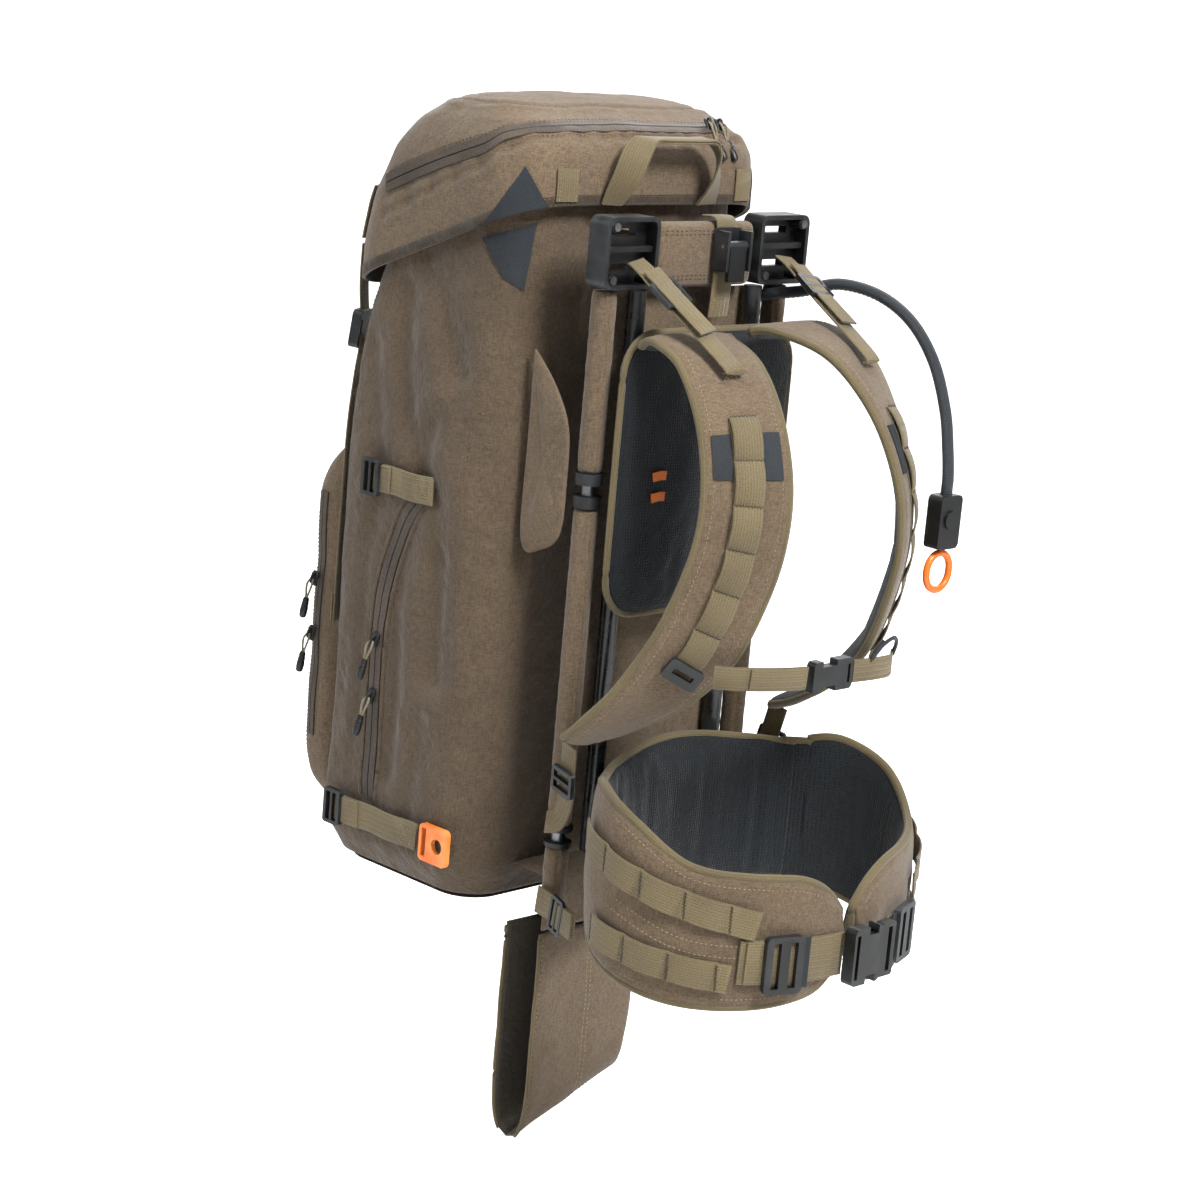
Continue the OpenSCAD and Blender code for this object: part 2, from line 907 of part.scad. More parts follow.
handle_at = [104, -281, 388];
ring_r = 3;
module handle_housing() {
  hung()
    color(black)
      translate(handle_at)
        difference() {
          union() {
            plate(28, 46, 15, 5);
            translate([0, -8, 2])
              rotate([90, 0, 0])
                cylinder(h = 2.5, r = 8, center = true, $fn = 40);
          }
          translate([0, 0, -30])
            cylinder(h = 46, r = 2.4, $fn = 32);
          translate([0, 0, 18])
            cylinder(h = 10, r = 5.3, $fn = 32);
        }
}
module pull_ring() {
  ring_a = 15;
  ring_h = 2;
  hung()
    color(orange)
      translate(handle_at + [0, 0, -24.5]) {
        translate([0, 0, -4])
          cylinder(h = 34, r = 2.2, $fn = 32);
        for (s = [-1, 1])
          translate([s * ring_a, 0, -ring_a - ring_h - ring_r])
            cylinder(h = ring_h, r = ring_r, $fn = 24);
        for (end = [[0, -ring_a - ring_r], [180, -ring_a - ring_h - ring_r]])
          translate([0, 0, end[1]])
            rotate([90, end[0], 0])
              intersection() {
                rotate_extrude($fn = 48)
                  translate([ring_a, 0])
                    circle(ring_r, $fn = 24);
                translate([-20, 0, -10])
                  cube([40, 20, 20]);
              }
      }
}

// ---------- cam buckle ----------

cam_at = [16, -87, 592];
cam_pin_z = 4;
module centre_strap() {
  hung()
    color(khaki)
      band(
        smooth([[16, -66, 618.5], [16, -80, 618.5], [16, -84.4, 610], [16, -84.4, 580], [16, -84.4, 556], [16, -83, 534]], 4),
        [1, 0, 0], 24, 1.6
      );
}
module cam_buckle() {
  hung()
    color(black)
      translate(cam_at) {
        plate(31, 38, 2.4, 3);
        for (s = [-1, 1])
          translate([s * 14, -8, 0])
            difference() {
              cube([3, 14, 34], center = true);
              translate([0, -1, cam_pin_z])
                rotate([0, 90, 0])
                  cylinder(h = 8, r = 1.6, center = true, $fn = 32);
            }
      }
}
module cam_pin() {
  hung()
    color(steel)
      translate(cam_at + [0, -9, cam_pin_z])
        rotate([0, 90, 0])
          cylinder(h = 31, r = 1.6, center = true, $fn = 32);
}
module cam_lever() {
  hung()
    color(black)
      translate(cam_at + [0, -9, cam_pin_z])
        difference() {
          union() {
            rotate([0, 90, 0])
              cylinder(h = 24, r = 4.6, center = true, $fn = 40);
            translate([-10, -4.6, -30])
              cube([20, 4, 30]);
          }
          rotate([0, 90, 0])
            cylinder(h = 30, r = 1.65, center = true, $fn = 32);
        }
}

// ---------- boot ----------

// Sleeve for a rifle's butt, open at its top and outer side, hanging from its fold
boot_y = -60;
boot_d = 46;
boot_t = 2.5;
boot_top = -10;
module boot_pocket() {
  hung()
    color(tan)
      translate([0, boot_y + boot_d, 0])
        rotate([90, 0, 0])
          difference() {
            linear_extrude(boot_d)
              polygon([[-110, boot_top], [24, boot_top], [10, -165], [-108, -207]]);
            translate([0, 0, boot_t])
              linear_extrude(boot_d - 2 * boot_t)
                polygon([[-130, 10], [21.5, 10], [21.5, boot_top], [7.8, -163], [-130, -212.2]]);
          }
}

main_bag();
front_pocket();
base_panel();
lid_hood();
lid_zip();
lid_slider_moving();
lid_slider_parked();
haul_loop();
lid_straps();
lid_buckles();
lid_tails();
side_zip();
side_slider_upper();
side_slider_lower();
pocket_zip();
pocket_slider_upper();
pocket_slider_lower();
channel_wings();
compression_straps();
triglides();
orange_clip();
post_sleeves();
post_collars();
post_pins();
crossbar();
bracket_left();
bracket_right();
screws();
frame_stays();
frame_panel();
back_pad();
shoulder_strap_left();
shoulder_strap_right();
daisy_webbing();
load_lifters();
lower_webbing();
ladder_locks();
sternum_webbing();
sternum_sliders();
sternum_buckle();
lumbar_pad();
belt_wing_left();
belt_wing_right();
molle_left();
molle_right();
belt_webbing_left();
belt_webbing_right();
belt_ladder_left();
belt_ladder_right();
buckle_female();
buckle_male();
stabiliser_straps();
release_conduit();
handle_housing();
pull_ring();
cam_buckle();
cam_lever();
cam_pin();
centre_strap();
boot_pocket();
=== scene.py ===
"""Looks for the hunting backpack: soft goods, webbing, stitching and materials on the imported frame.

Shapes are written in millimetres from the bag's base and back wall, as the CAD source is, with
+Z up, -Y towards the wearer and +X to the wearer's right. row() moves them to the frame.
"""

import json
import math

import bpy
import numpy as np
from mathutils import Matrix, Vector, noise
from mathutils.bvhtree import BVHTree

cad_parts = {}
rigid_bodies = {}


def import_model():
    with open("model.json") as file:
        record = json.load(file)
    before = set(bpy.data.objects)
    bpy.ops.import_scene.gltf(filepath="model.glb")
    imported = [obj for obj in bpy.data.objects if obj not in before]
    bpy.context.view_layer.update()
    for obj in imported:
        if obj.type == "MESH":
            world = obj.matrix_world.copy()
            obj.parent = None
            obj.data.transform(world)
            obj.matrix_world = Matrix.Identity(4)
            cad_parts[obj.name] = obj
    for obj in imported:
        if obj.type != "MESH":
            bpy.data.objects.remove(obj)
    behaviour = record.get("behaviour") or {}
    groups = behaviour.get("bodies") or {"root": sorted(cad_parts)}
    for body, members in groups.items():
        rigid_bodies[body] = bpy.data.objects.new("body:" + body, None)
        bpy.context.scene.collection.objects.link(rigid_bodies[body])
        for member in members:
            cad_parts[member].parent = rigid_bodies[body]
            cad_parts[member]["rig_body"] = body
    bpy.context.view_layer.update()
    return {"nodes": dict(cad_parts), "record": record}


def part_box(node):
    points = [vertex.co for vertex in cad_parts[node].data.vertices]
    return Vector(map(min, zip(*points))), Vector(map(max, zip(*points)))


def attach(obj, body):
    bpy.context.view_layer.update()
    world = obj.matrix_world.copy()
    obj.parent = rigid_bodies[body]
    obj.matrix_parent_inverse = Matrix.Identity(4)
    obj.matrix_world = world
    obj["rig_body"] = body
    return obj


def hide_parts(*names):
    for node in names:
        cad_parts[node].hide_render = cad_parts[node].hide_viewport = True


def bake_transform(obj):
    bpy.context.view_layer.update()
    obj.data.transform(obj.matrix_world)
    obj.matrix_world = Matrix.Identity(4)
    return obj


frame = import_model()
bag_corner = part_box("main_bag")[0]
ORIGIN = np.array([0.0, bag_corner.y, bag_corner.z])
MM = 0.001


def row(p):
    """A point in the bag's millimetres, in the frame's metres."""
    return ORIGIN + np.asarray(p, float) * MM


# ---------- camera, light and floor ----------

VIEW_AZ, VIEW_EL, VIEW_ROLL = math.radians(-46), math.radians(13), math.radians(5)
VIEW_DISTANCE = 2.6
AIM = row([0, 0, 300])

back = np.array([
    math.sin(VIEW_AZ) * math.cos(VIEW_EL), -math.cos(VIEW_AZ) * math.cos(VIEW_EL), math.sin(VIEW_EL)
])
level = np.array([math.cos(VIEW_AZ), math.sin(VIEW_AZ), 0])
rise = np.cross(back, level)
cam_x = level * math.cos(VIEW_ROLL) + rise * math.sin(VIEW_ROLL)
cam_y = rise * math.cos(VIEW_ROLL) - level * math.sin(VIEW_ROLL)
cam_data = bpy.data.cameras.new("camera")
cam_data.sensor_width = 36
cam_data.lens = 87.7
cam_data.clip_end = 60
camera = bpy.data.objects.new("camera", cam_data)
bpy.context.scene.collection.objects.link(camera)
place = AIM - 0.0107 * cam_x - 0.032 * cam_y + VIEW_DISTANCE * back
camera.matrix_world = Matrix([
    [cam_x[i], cam_y[i], back[i], place[i]] for i in range(3)
] + [[0, 0, 0, 1]])
bpy.context.scene.camera = camera
bpy.context.scene.view_settings.view_transform = "Standard"

world = bpy.data.worlds.new("studio")
world.use_nodes = True
world.node_tree.nodes["Background"].inputs["Color"].default_value = (1, 1, 1, 1)
world.node_tree.nodes["Background"].inputs["Strength"].default_value = 0.34
bpy.context.scene.world = world


def area_light(name, az, el, distance, size, power):
    """A square soft light that looks at the pack from azimuth az and elevation el."""
    data = bpy.data.lights.new(name, "AREA")
    data.size, data.energy = size, power
    lamp = bpy.data.objects.new(name, data)
    bpy.context.scene.collection.objects.link(lamp)
    a, e = math.radians(az), math.radians(el)
    way = Vector((math.sin(a) * math.cos(e), -math.cos(a) * math.cos(e), math.sin(e)))
    lamp.location = Vector(AIM) + way * distance
    lamp.rotation_mode = "QUATERNION"
    lamp.rotation_quaternion = way.to_track_quat("Z", "Y")


area_light("key", -10, 44, 3.0, 0.8, 128)
area_light("side", -116, 38, 3.2, 0.7, 27)
area_light("top", -70, 78, 2.6, 0.8, 30)
area_light("rim", 120, 40, 3.0, 1.2, 40)


# ---------- materials ----------


def tone(r, g, b):
    """A colour given as 0 to 255 display values, as the shader's linear values."""
    return tuple(((c / 255 + 0.055) / 1.055) ** 2.4 if c > 10 else c / 255 / 12.92 for c in (r, g, b)) + (1,)


class Finish:
    """A material under construction, with short names for the nodes it uses."""

    def __init__(self, name, rough, sheen=0.0, coat=0.0, metal=0.0, spec=0.5):
        self.material = bpy.data.materials.new(name)
        self.material.use_nodes = True
        self.tree = self.material.node_tree
        self.shader = self.tree.nodes["Principled BSDF"]
        self.shader.inputs["Roughness"].default_value = rough
        self.shader.inputs["Sheen Weight"].default_value = sheen
        self.shader.inputs["Sheen Roughness"].default_value = 0.45
        self.shader.inputs["Coat Weight"].default_value = coat
        self.shader.inputs["Coat Roughness"].default_value = 0.25
        self.shader.inputs["Metallic"].default_value = metal
        self.shader.inputs["Specular IOR Level"].default_value = spec
        self.coords = self.node("TexCoord")

    def node(self, kind, inputs=None, **props):
        made = self.tree.nodes.new("ShaderNode" + kind)
        for key, value in props.items():
            setattr(made, key, value)
        for key, value in (inputs or {}).items():
            if isinstance(value, bpy.types.NodeSocket):
                self.tree.links.new(value, made.inputs[key])
            else:
                made.inputs[key].default_value = value
        return made

    def noise(self, scale, stretch=(1, 1, 1), detail=2.0, where="Object"):
        mapped = self.node("Mapping", {"Vector": self.coords.outputs[where], "Scale": stretch})
        made = self.node("TexNoise", {"Vector": mapped.outputs[0], "Scale": scale, "Detail": detail})
        return made.outputs["Fac"]

    def math(self, operation, a, b=0.0):
        return self.node("Math", {0: a, 1: b}, operation=operation).outputs[0]

    def spread(self, value, low, high):
        """value, stretched so that low becomes 0 and high becomes 1."""
        made = self.node("MapRange", {"Value": value, "From Min": low, "From Max": high})
        return made.outputs[0]

    def mix(self, factor, a, b, blend="MIX"):
        made = self.node("Mix", {0: factor, 6: a, 7: b}, data_type="RGBA", blend_type=blend)
        return made.outputs[2]

    def bump(self, height, strength, distance, under=None):
        inputs = {"Height": height, "Strength": strength, "Distance": distance}
        if under is not None:
            inputs["Normal"] = under
        return self.node("Bump", inputs).outputs[0]

    def finish(self, colour, normal=None, rough=None):
        links = self.tree.links
        links.new(colour, self.shader.inputs["Base Color"])
        if normal is not None:
            links.new(normal, self.shader.inputs["Normal"])
        if rough is not None:
            links.new(rough, self.shader.inputs["Roughness"])
        return self.material


def woven(name, dark, light, rough=0.86, sheen=0.25, thread=1100, wobble=0.5):
    """Brushed heathered cloth: streaks of two yarns, a fine weave and soft unevenness."""
    f = Finish(name, rough, sheen, spec=0.25)
    warp = f.noise(thread, (1, 1, 0.16), 3)
    weft = f.noise(thread, (0.2, 0.2, 1), 3)
    heather = f.spread(f.math("ADD", warp, weft), 0.6, 1.4)
    patchy = f.spread(f.noise(9, detail=4), 0.3, 0.7)
    cloth = f.mix(heather, dark, light)
    shade = f.mix(patchy, (0.86, 0.86, 0.86, 1), (1.08, 1.07, 1.05, 1))
    cloth = f.mix(1.0, cloth, shade, "MULTIPLY")
    parts = f.node("SeparateXYZ", {"Vector": f.coords.outputs["Object"]})
    across = f.math("SINE", f.math("MULTIPLY", f.math("ADD", parts.outputs[0], parts.outputs[1]), 4200))
    along = f.math("SINE", f.math("MULTIPLY", parts.outputs[2], 4200))
    weave = f.math("ADD", f.math("MULTIPLY", across, along), f.math("MULTIPLY", heather, 1.5))
    soft = f.bump(f.noise(38, detail=5), wobble, 0.006)
    normal = f.bump(weave, 0.35, 0.0003, soft)
    return f.finish(cloth, normal)


def ribbed(name, dark, light, rib=1.5, rough=0.7, sheen=0.2):
    """Webbing: ribs across the run and cords along it, from the strip's own UV in mm."""
    f = Finish(name, rough, sheen, spec=0.35)
    parts = f.node("SeparateXYZ", {"Vector": f.coords.outputs["UV"]})
    u, v = parts.outputs[0], parts.outputs[1]
    zigzag = f.math("PINGPONG", u, 2.4)
    ribs = f.math("ABSOLUTE", f.math("SINE", f.math("MULTIPLY", f.math("ADD", v, zigzag), math.pi / rib)))
    cords = f.math("ABSOLUTE", f.math("SINE", f.math("MULTIPLY", u, math.pi / 2.4)))
    height = f.math("ADD", ribs, f.math("MULTIPLY", cords, 0.6))
    fuzz = f.noise(0.9, (1, 1, 1), 3, "UV")
    mixed = f.math("ADD", f.math("MULTIPLY", height, 0.5), f.spread(fuzz, 0.25, 0.95))
    colour = f.mix(f.spread(mixed, 0.3, 1.5), dark, light)
    worn = f.spread(f.noise(14, detail=4), 0.35, 0.65)
    colour = f.mix(1.0, colour, f.mix(worn, (0.85, 0.85, 0.85, 1), (1.06, 1.06, 1.04, 1)), "MULTIPLY")
    return f.finish(colour, f.bump(height, 0.55, 0.0005))


def air_mesh(name, dark, light, cell=380):
    """Spacer mesh: a net of yarn round small dark holes."""
    f = Finish(name, 0.8, 0.15, spec=0.3)
    cells = f.node("TexVoronoi", {"Vector": f.coords.outputs["Object"], "Scale": cell, "Randomness": 0.35})
    net = f.spread(cells.outputs["Distance"], 0.18, 0.5)
    drift = f.spread(f.noise(14, detail=3), 0.3, 0.7)
    colour = f.mix(net, dark, light)
    colour = f.mix(1.0, colour, f.mix(drift, (0.8, 0.8, 0.8, 1), (1.15, 1.15, 1.15, 1)), "MULTIPLY")
    soft = f.bump(f.noise(30, detail=4), 0.35, 0.005)
    return f.finish(colour, f.bump(net, 0.7, 0.0008, soft))


def coated(name, dark, light, rough=0.34, coat=0.25, grain=700):
    """A smooth rubbery film over cloth, for water-resistant zips and patches."""
    f = Finish(name, rough, 0.0, coat, spec=0.5)
    fine = f.noise(grain, detail=3)
    wide = f.noise(22, (1, 1, 0.5), 4)
    colour = f.mix(f.spread(f.math("ADD", fine, wide), 0.75, 1.25), dark, light)
    roughness = f.node("MapRange", {"Value": wide, "To Min": rough - 0.08, "To Max": rough + 0.16}).outputs[0]
    return f.finish(colour, f.bump(fine, 0.2, 0.0003, f.bump(wide, 0.2, 0.002)), roughness)


def moulded(name, base, worn, rough=0.4, coat=0.0, metal=0.0, grain=1400, edge=0.54):
    """Moulded plastic or metal with a fine grain, uneven gloss and lighter worn edges."""
    f = Finish(name, rough, 0.0, coat, metal)
    fine = f.noise(grain, detail=2)
    wide = f.noise(45, detail=4)
    pointy = f.node("NewGeometry").outputs["Pointiness"]
    scuff = f.math("MULTIPLY", f.spread(pointy, edge, edge + 0.1), f.spread(wide, 0.35, 0.6))
    colour = f.mix(scuff, base, worn)
    roughness = f.node("MapRange", {"Value": wide, "To Min": rough - 0.1, "To Max": rough + 0.14}).outputs[0]
    return f.finish(colour, f.bump(fine, 0.12, 0.0002), roughness)


def braided(name, dark, light):
    """The crossed yarns of a cable sleeve, from its own UV in mm."""
    f = Finish(name, 0.55, 0.1, spec=0.45)
    parts = f.node("SeparateXYZ", {"Vector": f.coords.outputs["UV"]})
    one = f.math("SINE", f.math("MULTIPLY", f.math("ADD", parts.outputs[0], parts.outputs[1]), 2.6))
    two = f.math("SINE", f.math("MULTIPLY", f.math("SUBTRACT", parts.outputs[0], parts.outputs[1]), 2.6))
    height = f.math("MULTIPLY", one, two)
    return f.finish(f.mix(f.spread(height, -0.9, 0.9), dark, light), f.bump(height, 0.6, 0.0005))


FABRIC = woven("pack_cloth", tone(70, 58, 45), tone(118, 101, 81))
# A darker copy of the pack cloth, as painted shade: the bag shell, base panel and side zip welt wear it
# because they face away from the key light.
FABRIC_PAINTED_SHADE = woven("pack_cloth_side", tone(57, 47, 37), tone(98, 83, 66), wobble=1.0)
LINING = woven("lining_cloth", tone(54, 50, 44), tone(86, 80, 70), rough=0.7, sheen=0.1)
GUSSET = woven("gusset_cloth", tone(40, 33, 26), tone(68, 57, 45))
WEBBING = ribbed("webbing", tone(62, 53, 36), tone(134, 119, 86))
BINDING = ribbed("binding", tone(62, 53, 34), tone(122, 108, 74), rib=1.1)
AIR_MESH = air_mesh("air_mesh", tone(2, 2, 3), tone(23, 28, 32))
ZIP_TAPE = coated("zip_tape", tone(50, 43, 37), tone(80, 70, 60), rough=0.58, coat=0.0)
PATCH = coated("patch_film", tone(18, 22, 26), tone(34, 40, 46), rough=0.8, coat=0.0)
BLACK = moulded("moulded_black", tone(9, 10, 11), tone(40, 43, 45), rough=0.42)
TUBE = moulded("black_tube", tone(10, 11, 12), tone(44, 46, 48), rough=0.26, coat=0.4)
ORANGE = moulded("orange_plastic", tone(228, 104, 14), tone(248, 160, 84), rough=0.36, coat=0.2)
STEEL = moulded("steel", tone(98, 100, 102), tone(150, 151, 152), rough=0.34, metal=1.0)
SLEEVE = braided("conduit_braid", tone(10, 13, 17), tone(38, 45, 52))
CORD = braided("pull_cord", tone(78, 72, 56), tone(148, 140, 114))
THREAD = coated("thread", tone(112, 96, 68), tone(160, 143, 108), rough=0.55, coat=0.0)
SEAM_THREAD = coated("seam_thread", tone(66, 55, 42), tone(104, 90, 70), rough=0.6, coat=0.0)
DARK_THREAD = coated("dark_thread", tone(16, 15, 14), tone(42, 39, 35), rough=0.55, coat=0.0)
ORANGE_TAB = ribbed("orange_tab", tone(196, 84, 14), tone(240, 130, 40), rib=1.0)


# ---------- shared shapes ----------


def smooth(points, steps):
    """A smooth run through the points, with steps between each two."""
    p = np.asarray(points, float)
    p = np.concatenate([p[:1], p, p[-1:]])
    t = np.arange(steps)[:, None] / steps
    runs = []
    for i in range(1, len(p) - 2):
        a, b, c, d = p[i - 1], p[i], p[i + 1], p[i + 2]
        runs.append(0.5 * (2 * b + (c - a) * t + (2 * a - 5 * b + 4 * c - d) * t**2
                           + (3 * b - a - 3 * c + d) * t**3))
    return np.concatenate(runs + [p[-2:-1]])


def even(points, spacing, closed=False):
    """The same run with points about spacing apart."""
    p = np.asarray(points, float)
    if closed:
        p = np.concatenate([p, p[:1]])
    run = np.concatenate([[0], np.cumsum(np.linalg.norm(np.diff(p, axis=0), axis=1))])
    count = max(2, int(round(run[-1] / spacing)) + 1)
    at = np.linspace(0, run[-1], count)
    made = np.stack([np.interp(at, run, p[:, k]) for k in range(p.shape[1])], 1)
    return made[:-1] if closed else made


def unit(v):
    v = np.asarray(v, float)
    return v / np.maximum(np.linalg.norm(v, axis=-1, keepdims=True), 1e-9)


def tangents(p, closed=False):
    if closed:
        return unit(np.roll(p, -1, 0) - np.roll(p, 1, 0))
    ends = np.concatenate([p[:1], p, p[-1:]])
    return unit(ends[2:] - ends[:-2])


def box_ring(z, hw, y0, y1, r, tilt, count=144):
    """A rounded rectangle ring of evenly spaced points, from the +X side round by +Y."""
    turn = np.linspace(0, math.pi / 2, 12)
    corners = []
    for q, (sx, sy) in enumerate([(1, 1), (-1, 1), (-1, -1), (1, -1)]):
        a = q * math.pi / 2 + turn
        y = (y1 - r if sy > 0 else y0 + r) + r * np.sin(a)
        corners.append(np.stack([sx * (hw - r) + r * np.cos(a), y, z + tilt * (y - (y0 + y1) / 2)], 1))
    outline = np.concatenate(corners)
    outline = np.concatenate([outline, outline[:1]])
    run = np.concatenate([[0], np.cumsum(np.linalg.norm(np.diff(outline, axis=0), axis=1))])
    at = np.linspace(0, run[-1], count + 1)[:-1]
    return np.stack([np.interp(at, run, outline[:, k]) for k in range(3)], 1)


def keyed_rings(keys, levels, count=144, soften=3):
    """Rings between the keys (z, half-width, y0, y1, corner, tilt), at the given key positions."""
    keys = np.asarray(keys, float)
    table = np.stack([np.interp(levels, np.arange(len(keys)), keys[:, k]) for k in range(6)], 1)
    pad = np.concatenate([table[:1]] * soften + [table] + [table[-1:]] * soften)
    kernel = np.ones(2 * soften + 1) / (2 * soften + 1)
    for k in range(1, 6):
        table[:, k] = np.convolve(pad[:, k], kernel, "valid")
    return np.stack([box_ring(*t, count=count) for t in table])


def cap_rows(ring, steps=6, rise=0.0):
    """Rows that close a ring towards its middle."""
    centre = ring.mean(0)
    rows = []
    for k in range(1, steps + 1):
        s = 1 - k / steps * 0.998
        rows.append(centre + (ring - centre) * s + np.array([0, 0, rise * (1 - s * s)]))
    return rows


def normals_of(grid, closed):
    """Outward normals of a grid of points whose columns go round counter-clockwise and rows go up."""
    if closed:
        du = np.roll(grid, -1, 1) - np.roll(grid, 1, 1)
    else:
        du = np.gradient(grid, axis=1)
    return unit(np.cross(du, np.gradient(grid, axis=0)))


def rough_noise(points, scale, seed=0.0):
    """Smooth noise from -1 to 1 at each point; scale is in mm."""
    flat = np.asarray(points).reshape(-1, 3) / scale + seed
    return np.array([noise.noise(Vector(p)) for p in flat]).reshape(np.asarray(points).shape[:-1])


PIECES = {}


def add(name, verts, faces, material, body="pack", uv=None, slot=None, stands_for=(), sharp=40,
        face_material=None):
    """One mesh object from points in the bag's millimetres, riding on a body."""
    mesh = bpy.data.meshes.new(name)
    mesh.from_pydata(row(verts).tolist(), [], [list(map(int, f)) for f in faces])
    materials = material if isinstance(material, (list, tuple)) else [material]
    for m in materials:
        mesh.materials.append(m)
    if face_material is not None:
        mesh.polygons.foreach_set("material_index", np.asarray(face_material, np.int32))
    if uv is not None:
        layer = mesh.uv_layers.new(name="uv")
        layer.data.foreach_set("uv", np.asarray(uv, np.float32).ravel())
    mesh.shade_smooth()
    if sharp:
        mesh.set_sharp_from_angle(angle=math.radians(sharp))
    made = bpy.data.objects.new(name, mesh)
    bpy.context.scene.collection.objects.link(made)
    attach(made, body)
    if stands_for:
        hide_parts(*stands_for)
    PIECES[name] = made
    return made


def grid_mesh(grid, closed=False, end_caps=False):
    """Faces and corner UVs, in mm, of a grid of points; a closed grid's last column meets its first."""
    rows, cols = grid.shape[:2]
    wrap = cols if closed else cols - 1
    across = np.linalg.norm(np.diff(grid, axis=1, append=grid[:, :1]), axis=2).mean(0)
    u = np.concatenate([[0], np.cumsum(across)])
    v = np.concatenate([[0], np.cumsum(np.linalg.norm(np.diff(grid, axis=0), axis=2).mean(1))])
    r, c = np.meshgrid(np.arange(rows - 1), np.arange(wrap), indexing="ij")
    r, c = r.ravel(), c.ravel()
    n = (c + 1) % cols
    faces = np.stack([r * cols + c, r * cols + n, (r + 1) * cols + n, (r + 1) * cols + c], 1).tolist()
    uv = np.stack([u[c], v[r], u[c + 1], v[r], u[c + 1], v[r + 1], u[c], v[r + 1]], 1).reshape(-1, 2)
    if end_caps:
        for ring, flip in ((0, True), (rows - 1, False)):
            loop = [ring * cols + k for k in range(cols)]
            faces.append(loop[::-1] if flip else loop)
            uv = np.concatenate([uv, np.zeros((cols, 2))])
    return faces, uv


def add_grid(name, grid, material, body="pack", closed=False, end_caps=False, **more):
    faces, uv = grid_mesh(grid, closed, end_caps)
    return add(name, grid.reshape(-1, 3), faces, material, body, uv, **more)


def put(name, shape, material, body="pack", slot=None, stands_for=(), sharp=40):
    """One mesh object from (verts, faces, uv)."""
    verts, faces, uv = shape
    return add(name, verts.reshape(-1, 3), faces, material, body, uv, slot, stands_for, sharp)


def merge(parts):
    """Several (verts, faces, uv) as one."""
    verts, faces, uvs, start = [], [], [], 0
    for v, f, uv in parts:
        verts.append(np.asarray(v).reshape(-1, 3))
        faces += [[i + start for i in face] for face in f]
        uvs.append(uv)
        start += len(verts[-1])
    return np.concatenate(verts), faces, np.concatenate(uvs)


def strip(path, side, width, thick, edge=0.35, lift=None):
    """A flat band along path, as (verts, faces, uv). side is its width direction; width may vary by point."""
    p = np.asarray(path, float)
    t = tangents(p)
    side = np.broadcast_to(np.asarray(side, float), p.shape)
    w = unit(side - (side * t).sum(1, keepdims=True) * t)
    n = np.cross(t, w)
    width = np.broadcast_to(np.asarray(width, float), len(p))[:, None]
    c = thick * edge
    x = np.array([-1, -1, 1, 1, 1, 1, -1, -1]) * 0.5
    inset = np.array([c, 0, 0, c, c, 0, 0, c])
    y = np.array([-1, -1, -1, -1, 1, 1, 1, 1]) * thick / 2
    y = y + np.array([0, c, c, 0, 0, -c, -c, 0])
    x_at = x * width - np.sign(x) * inset
    order = [0, 3, 2, 5, 4, 7, 6, 1]
    ring = p[:, None] + x_at[..., None] * w[:, None] + y[None, :, None] * n[:, None]
    ring = ring[:, order]
    if lift is not None:
        ring = ring + (np.asarray(lift)[:, None] * n)[:, None]
    faces, _ = grid_mesh(ring, True, True)
    run = np.concatenate([[0], np.cumsum(np.linalg.norm(np.diff(p, axis=0), axis=1))])
    u = x_at[:, order]
    rows, cols = u.shape
    uv = [(u[i // cols, i % cols], run[i // cols]) for face in faces for i in face]
    return ring, faces, np.asarray(uv)


def tube(path, radius, sides=10, closed=False, flat=1.0, up=(0, 0, 1)):
    """A round cord along path, as (verts, faces, uv); flat squashes it along up."""
    p = np.asarray(path, float)
    t = tangents(p, closed)
    up = np.broadcast_to(np.asarray(up, float), p.shape)
    w = unit(np.cross(t, up))
    bad = np.linalg.norm(np.cross(t, up), axis=1) < 0.05
    w[bad] = unit(np.cross(t[bad], np.array([0.3, 1.0, 0.1])))
    n = np.cross(w, t)
    a = np.linspace(0, 2 * math.pi, sides, endpoint=False)
    r = np.broadcast_to(np.asarray(radius, float), len(p))[:, None, None]
    ring = p[:, None] + r * (np.cos(a)[None, :, None] * w[:, None]
                             + flat * np.sin(a)[None, :, None] * n[:, None])
    ring = ring[:, ::-1]
    if closed:
        ring = np.concatenate([ring, ring[:1]])
    faces, uv = grid_mesh(ring, True, not closed)
    return ring, faces, uv


def stitches(lines, pitch=4.4, length=3.0, width=0.55):
    """Raised thread along each (points, normals) line, as (verts, faces, uv)."""
    parts = []
    for points, normals in lines:
        p = np.asarray(points, float)
        run = np.concatenate([[0], np.cumsum(np.linalg.norm(np.diff(p, axis=0), axis=1))])
        count = int(run[-1] / pitch)
        if count < 1:
            continue
        mid = (np.arange(count) + 0.5) * run[-1] / count
        at = np.stack([np.interp(mid, run, p[:, k]) for k in range(3)], 1)
        ahead = np.stack([np.interp(mid + 1, run, p[:, k]) - np.interp(mid - 1, run, p[:, k])
                          for k in range(3)], 1)
        n = unit(np.stack([np.interp(mid, run, np.asarray(normals)[:, k]) for k in range(3)], 1))
        t = unit(ahead)
        s = unit(np.cross(t, n))
        ends = [at - t * length / 2 - n * 0.1, at + t * length / 2 - n * 0.1]
        ring = [at + s * width, at + n * width * 0.9, at - s * width, at - n * width * 0.4]
        verts = np.stack([ends[0], *ring, ends[1]], 1)
        base = np.arange(count)[:, None, None] * 6
        shape = [[0, a, b] for a, b in ((2, 1), (3, 2), (4, 3), (1, 4))]
        shape += [[5, a, b] for a, b in ((1, 2), (2, 3), (3, 4), (4, 1))]
        faces = (base + np.array(shape)[None]).reshape(-1, 3).tolist()
        parts.append((verts, faces, np.zeros((len(faces) * 3, 2))))
    return merge(parts)


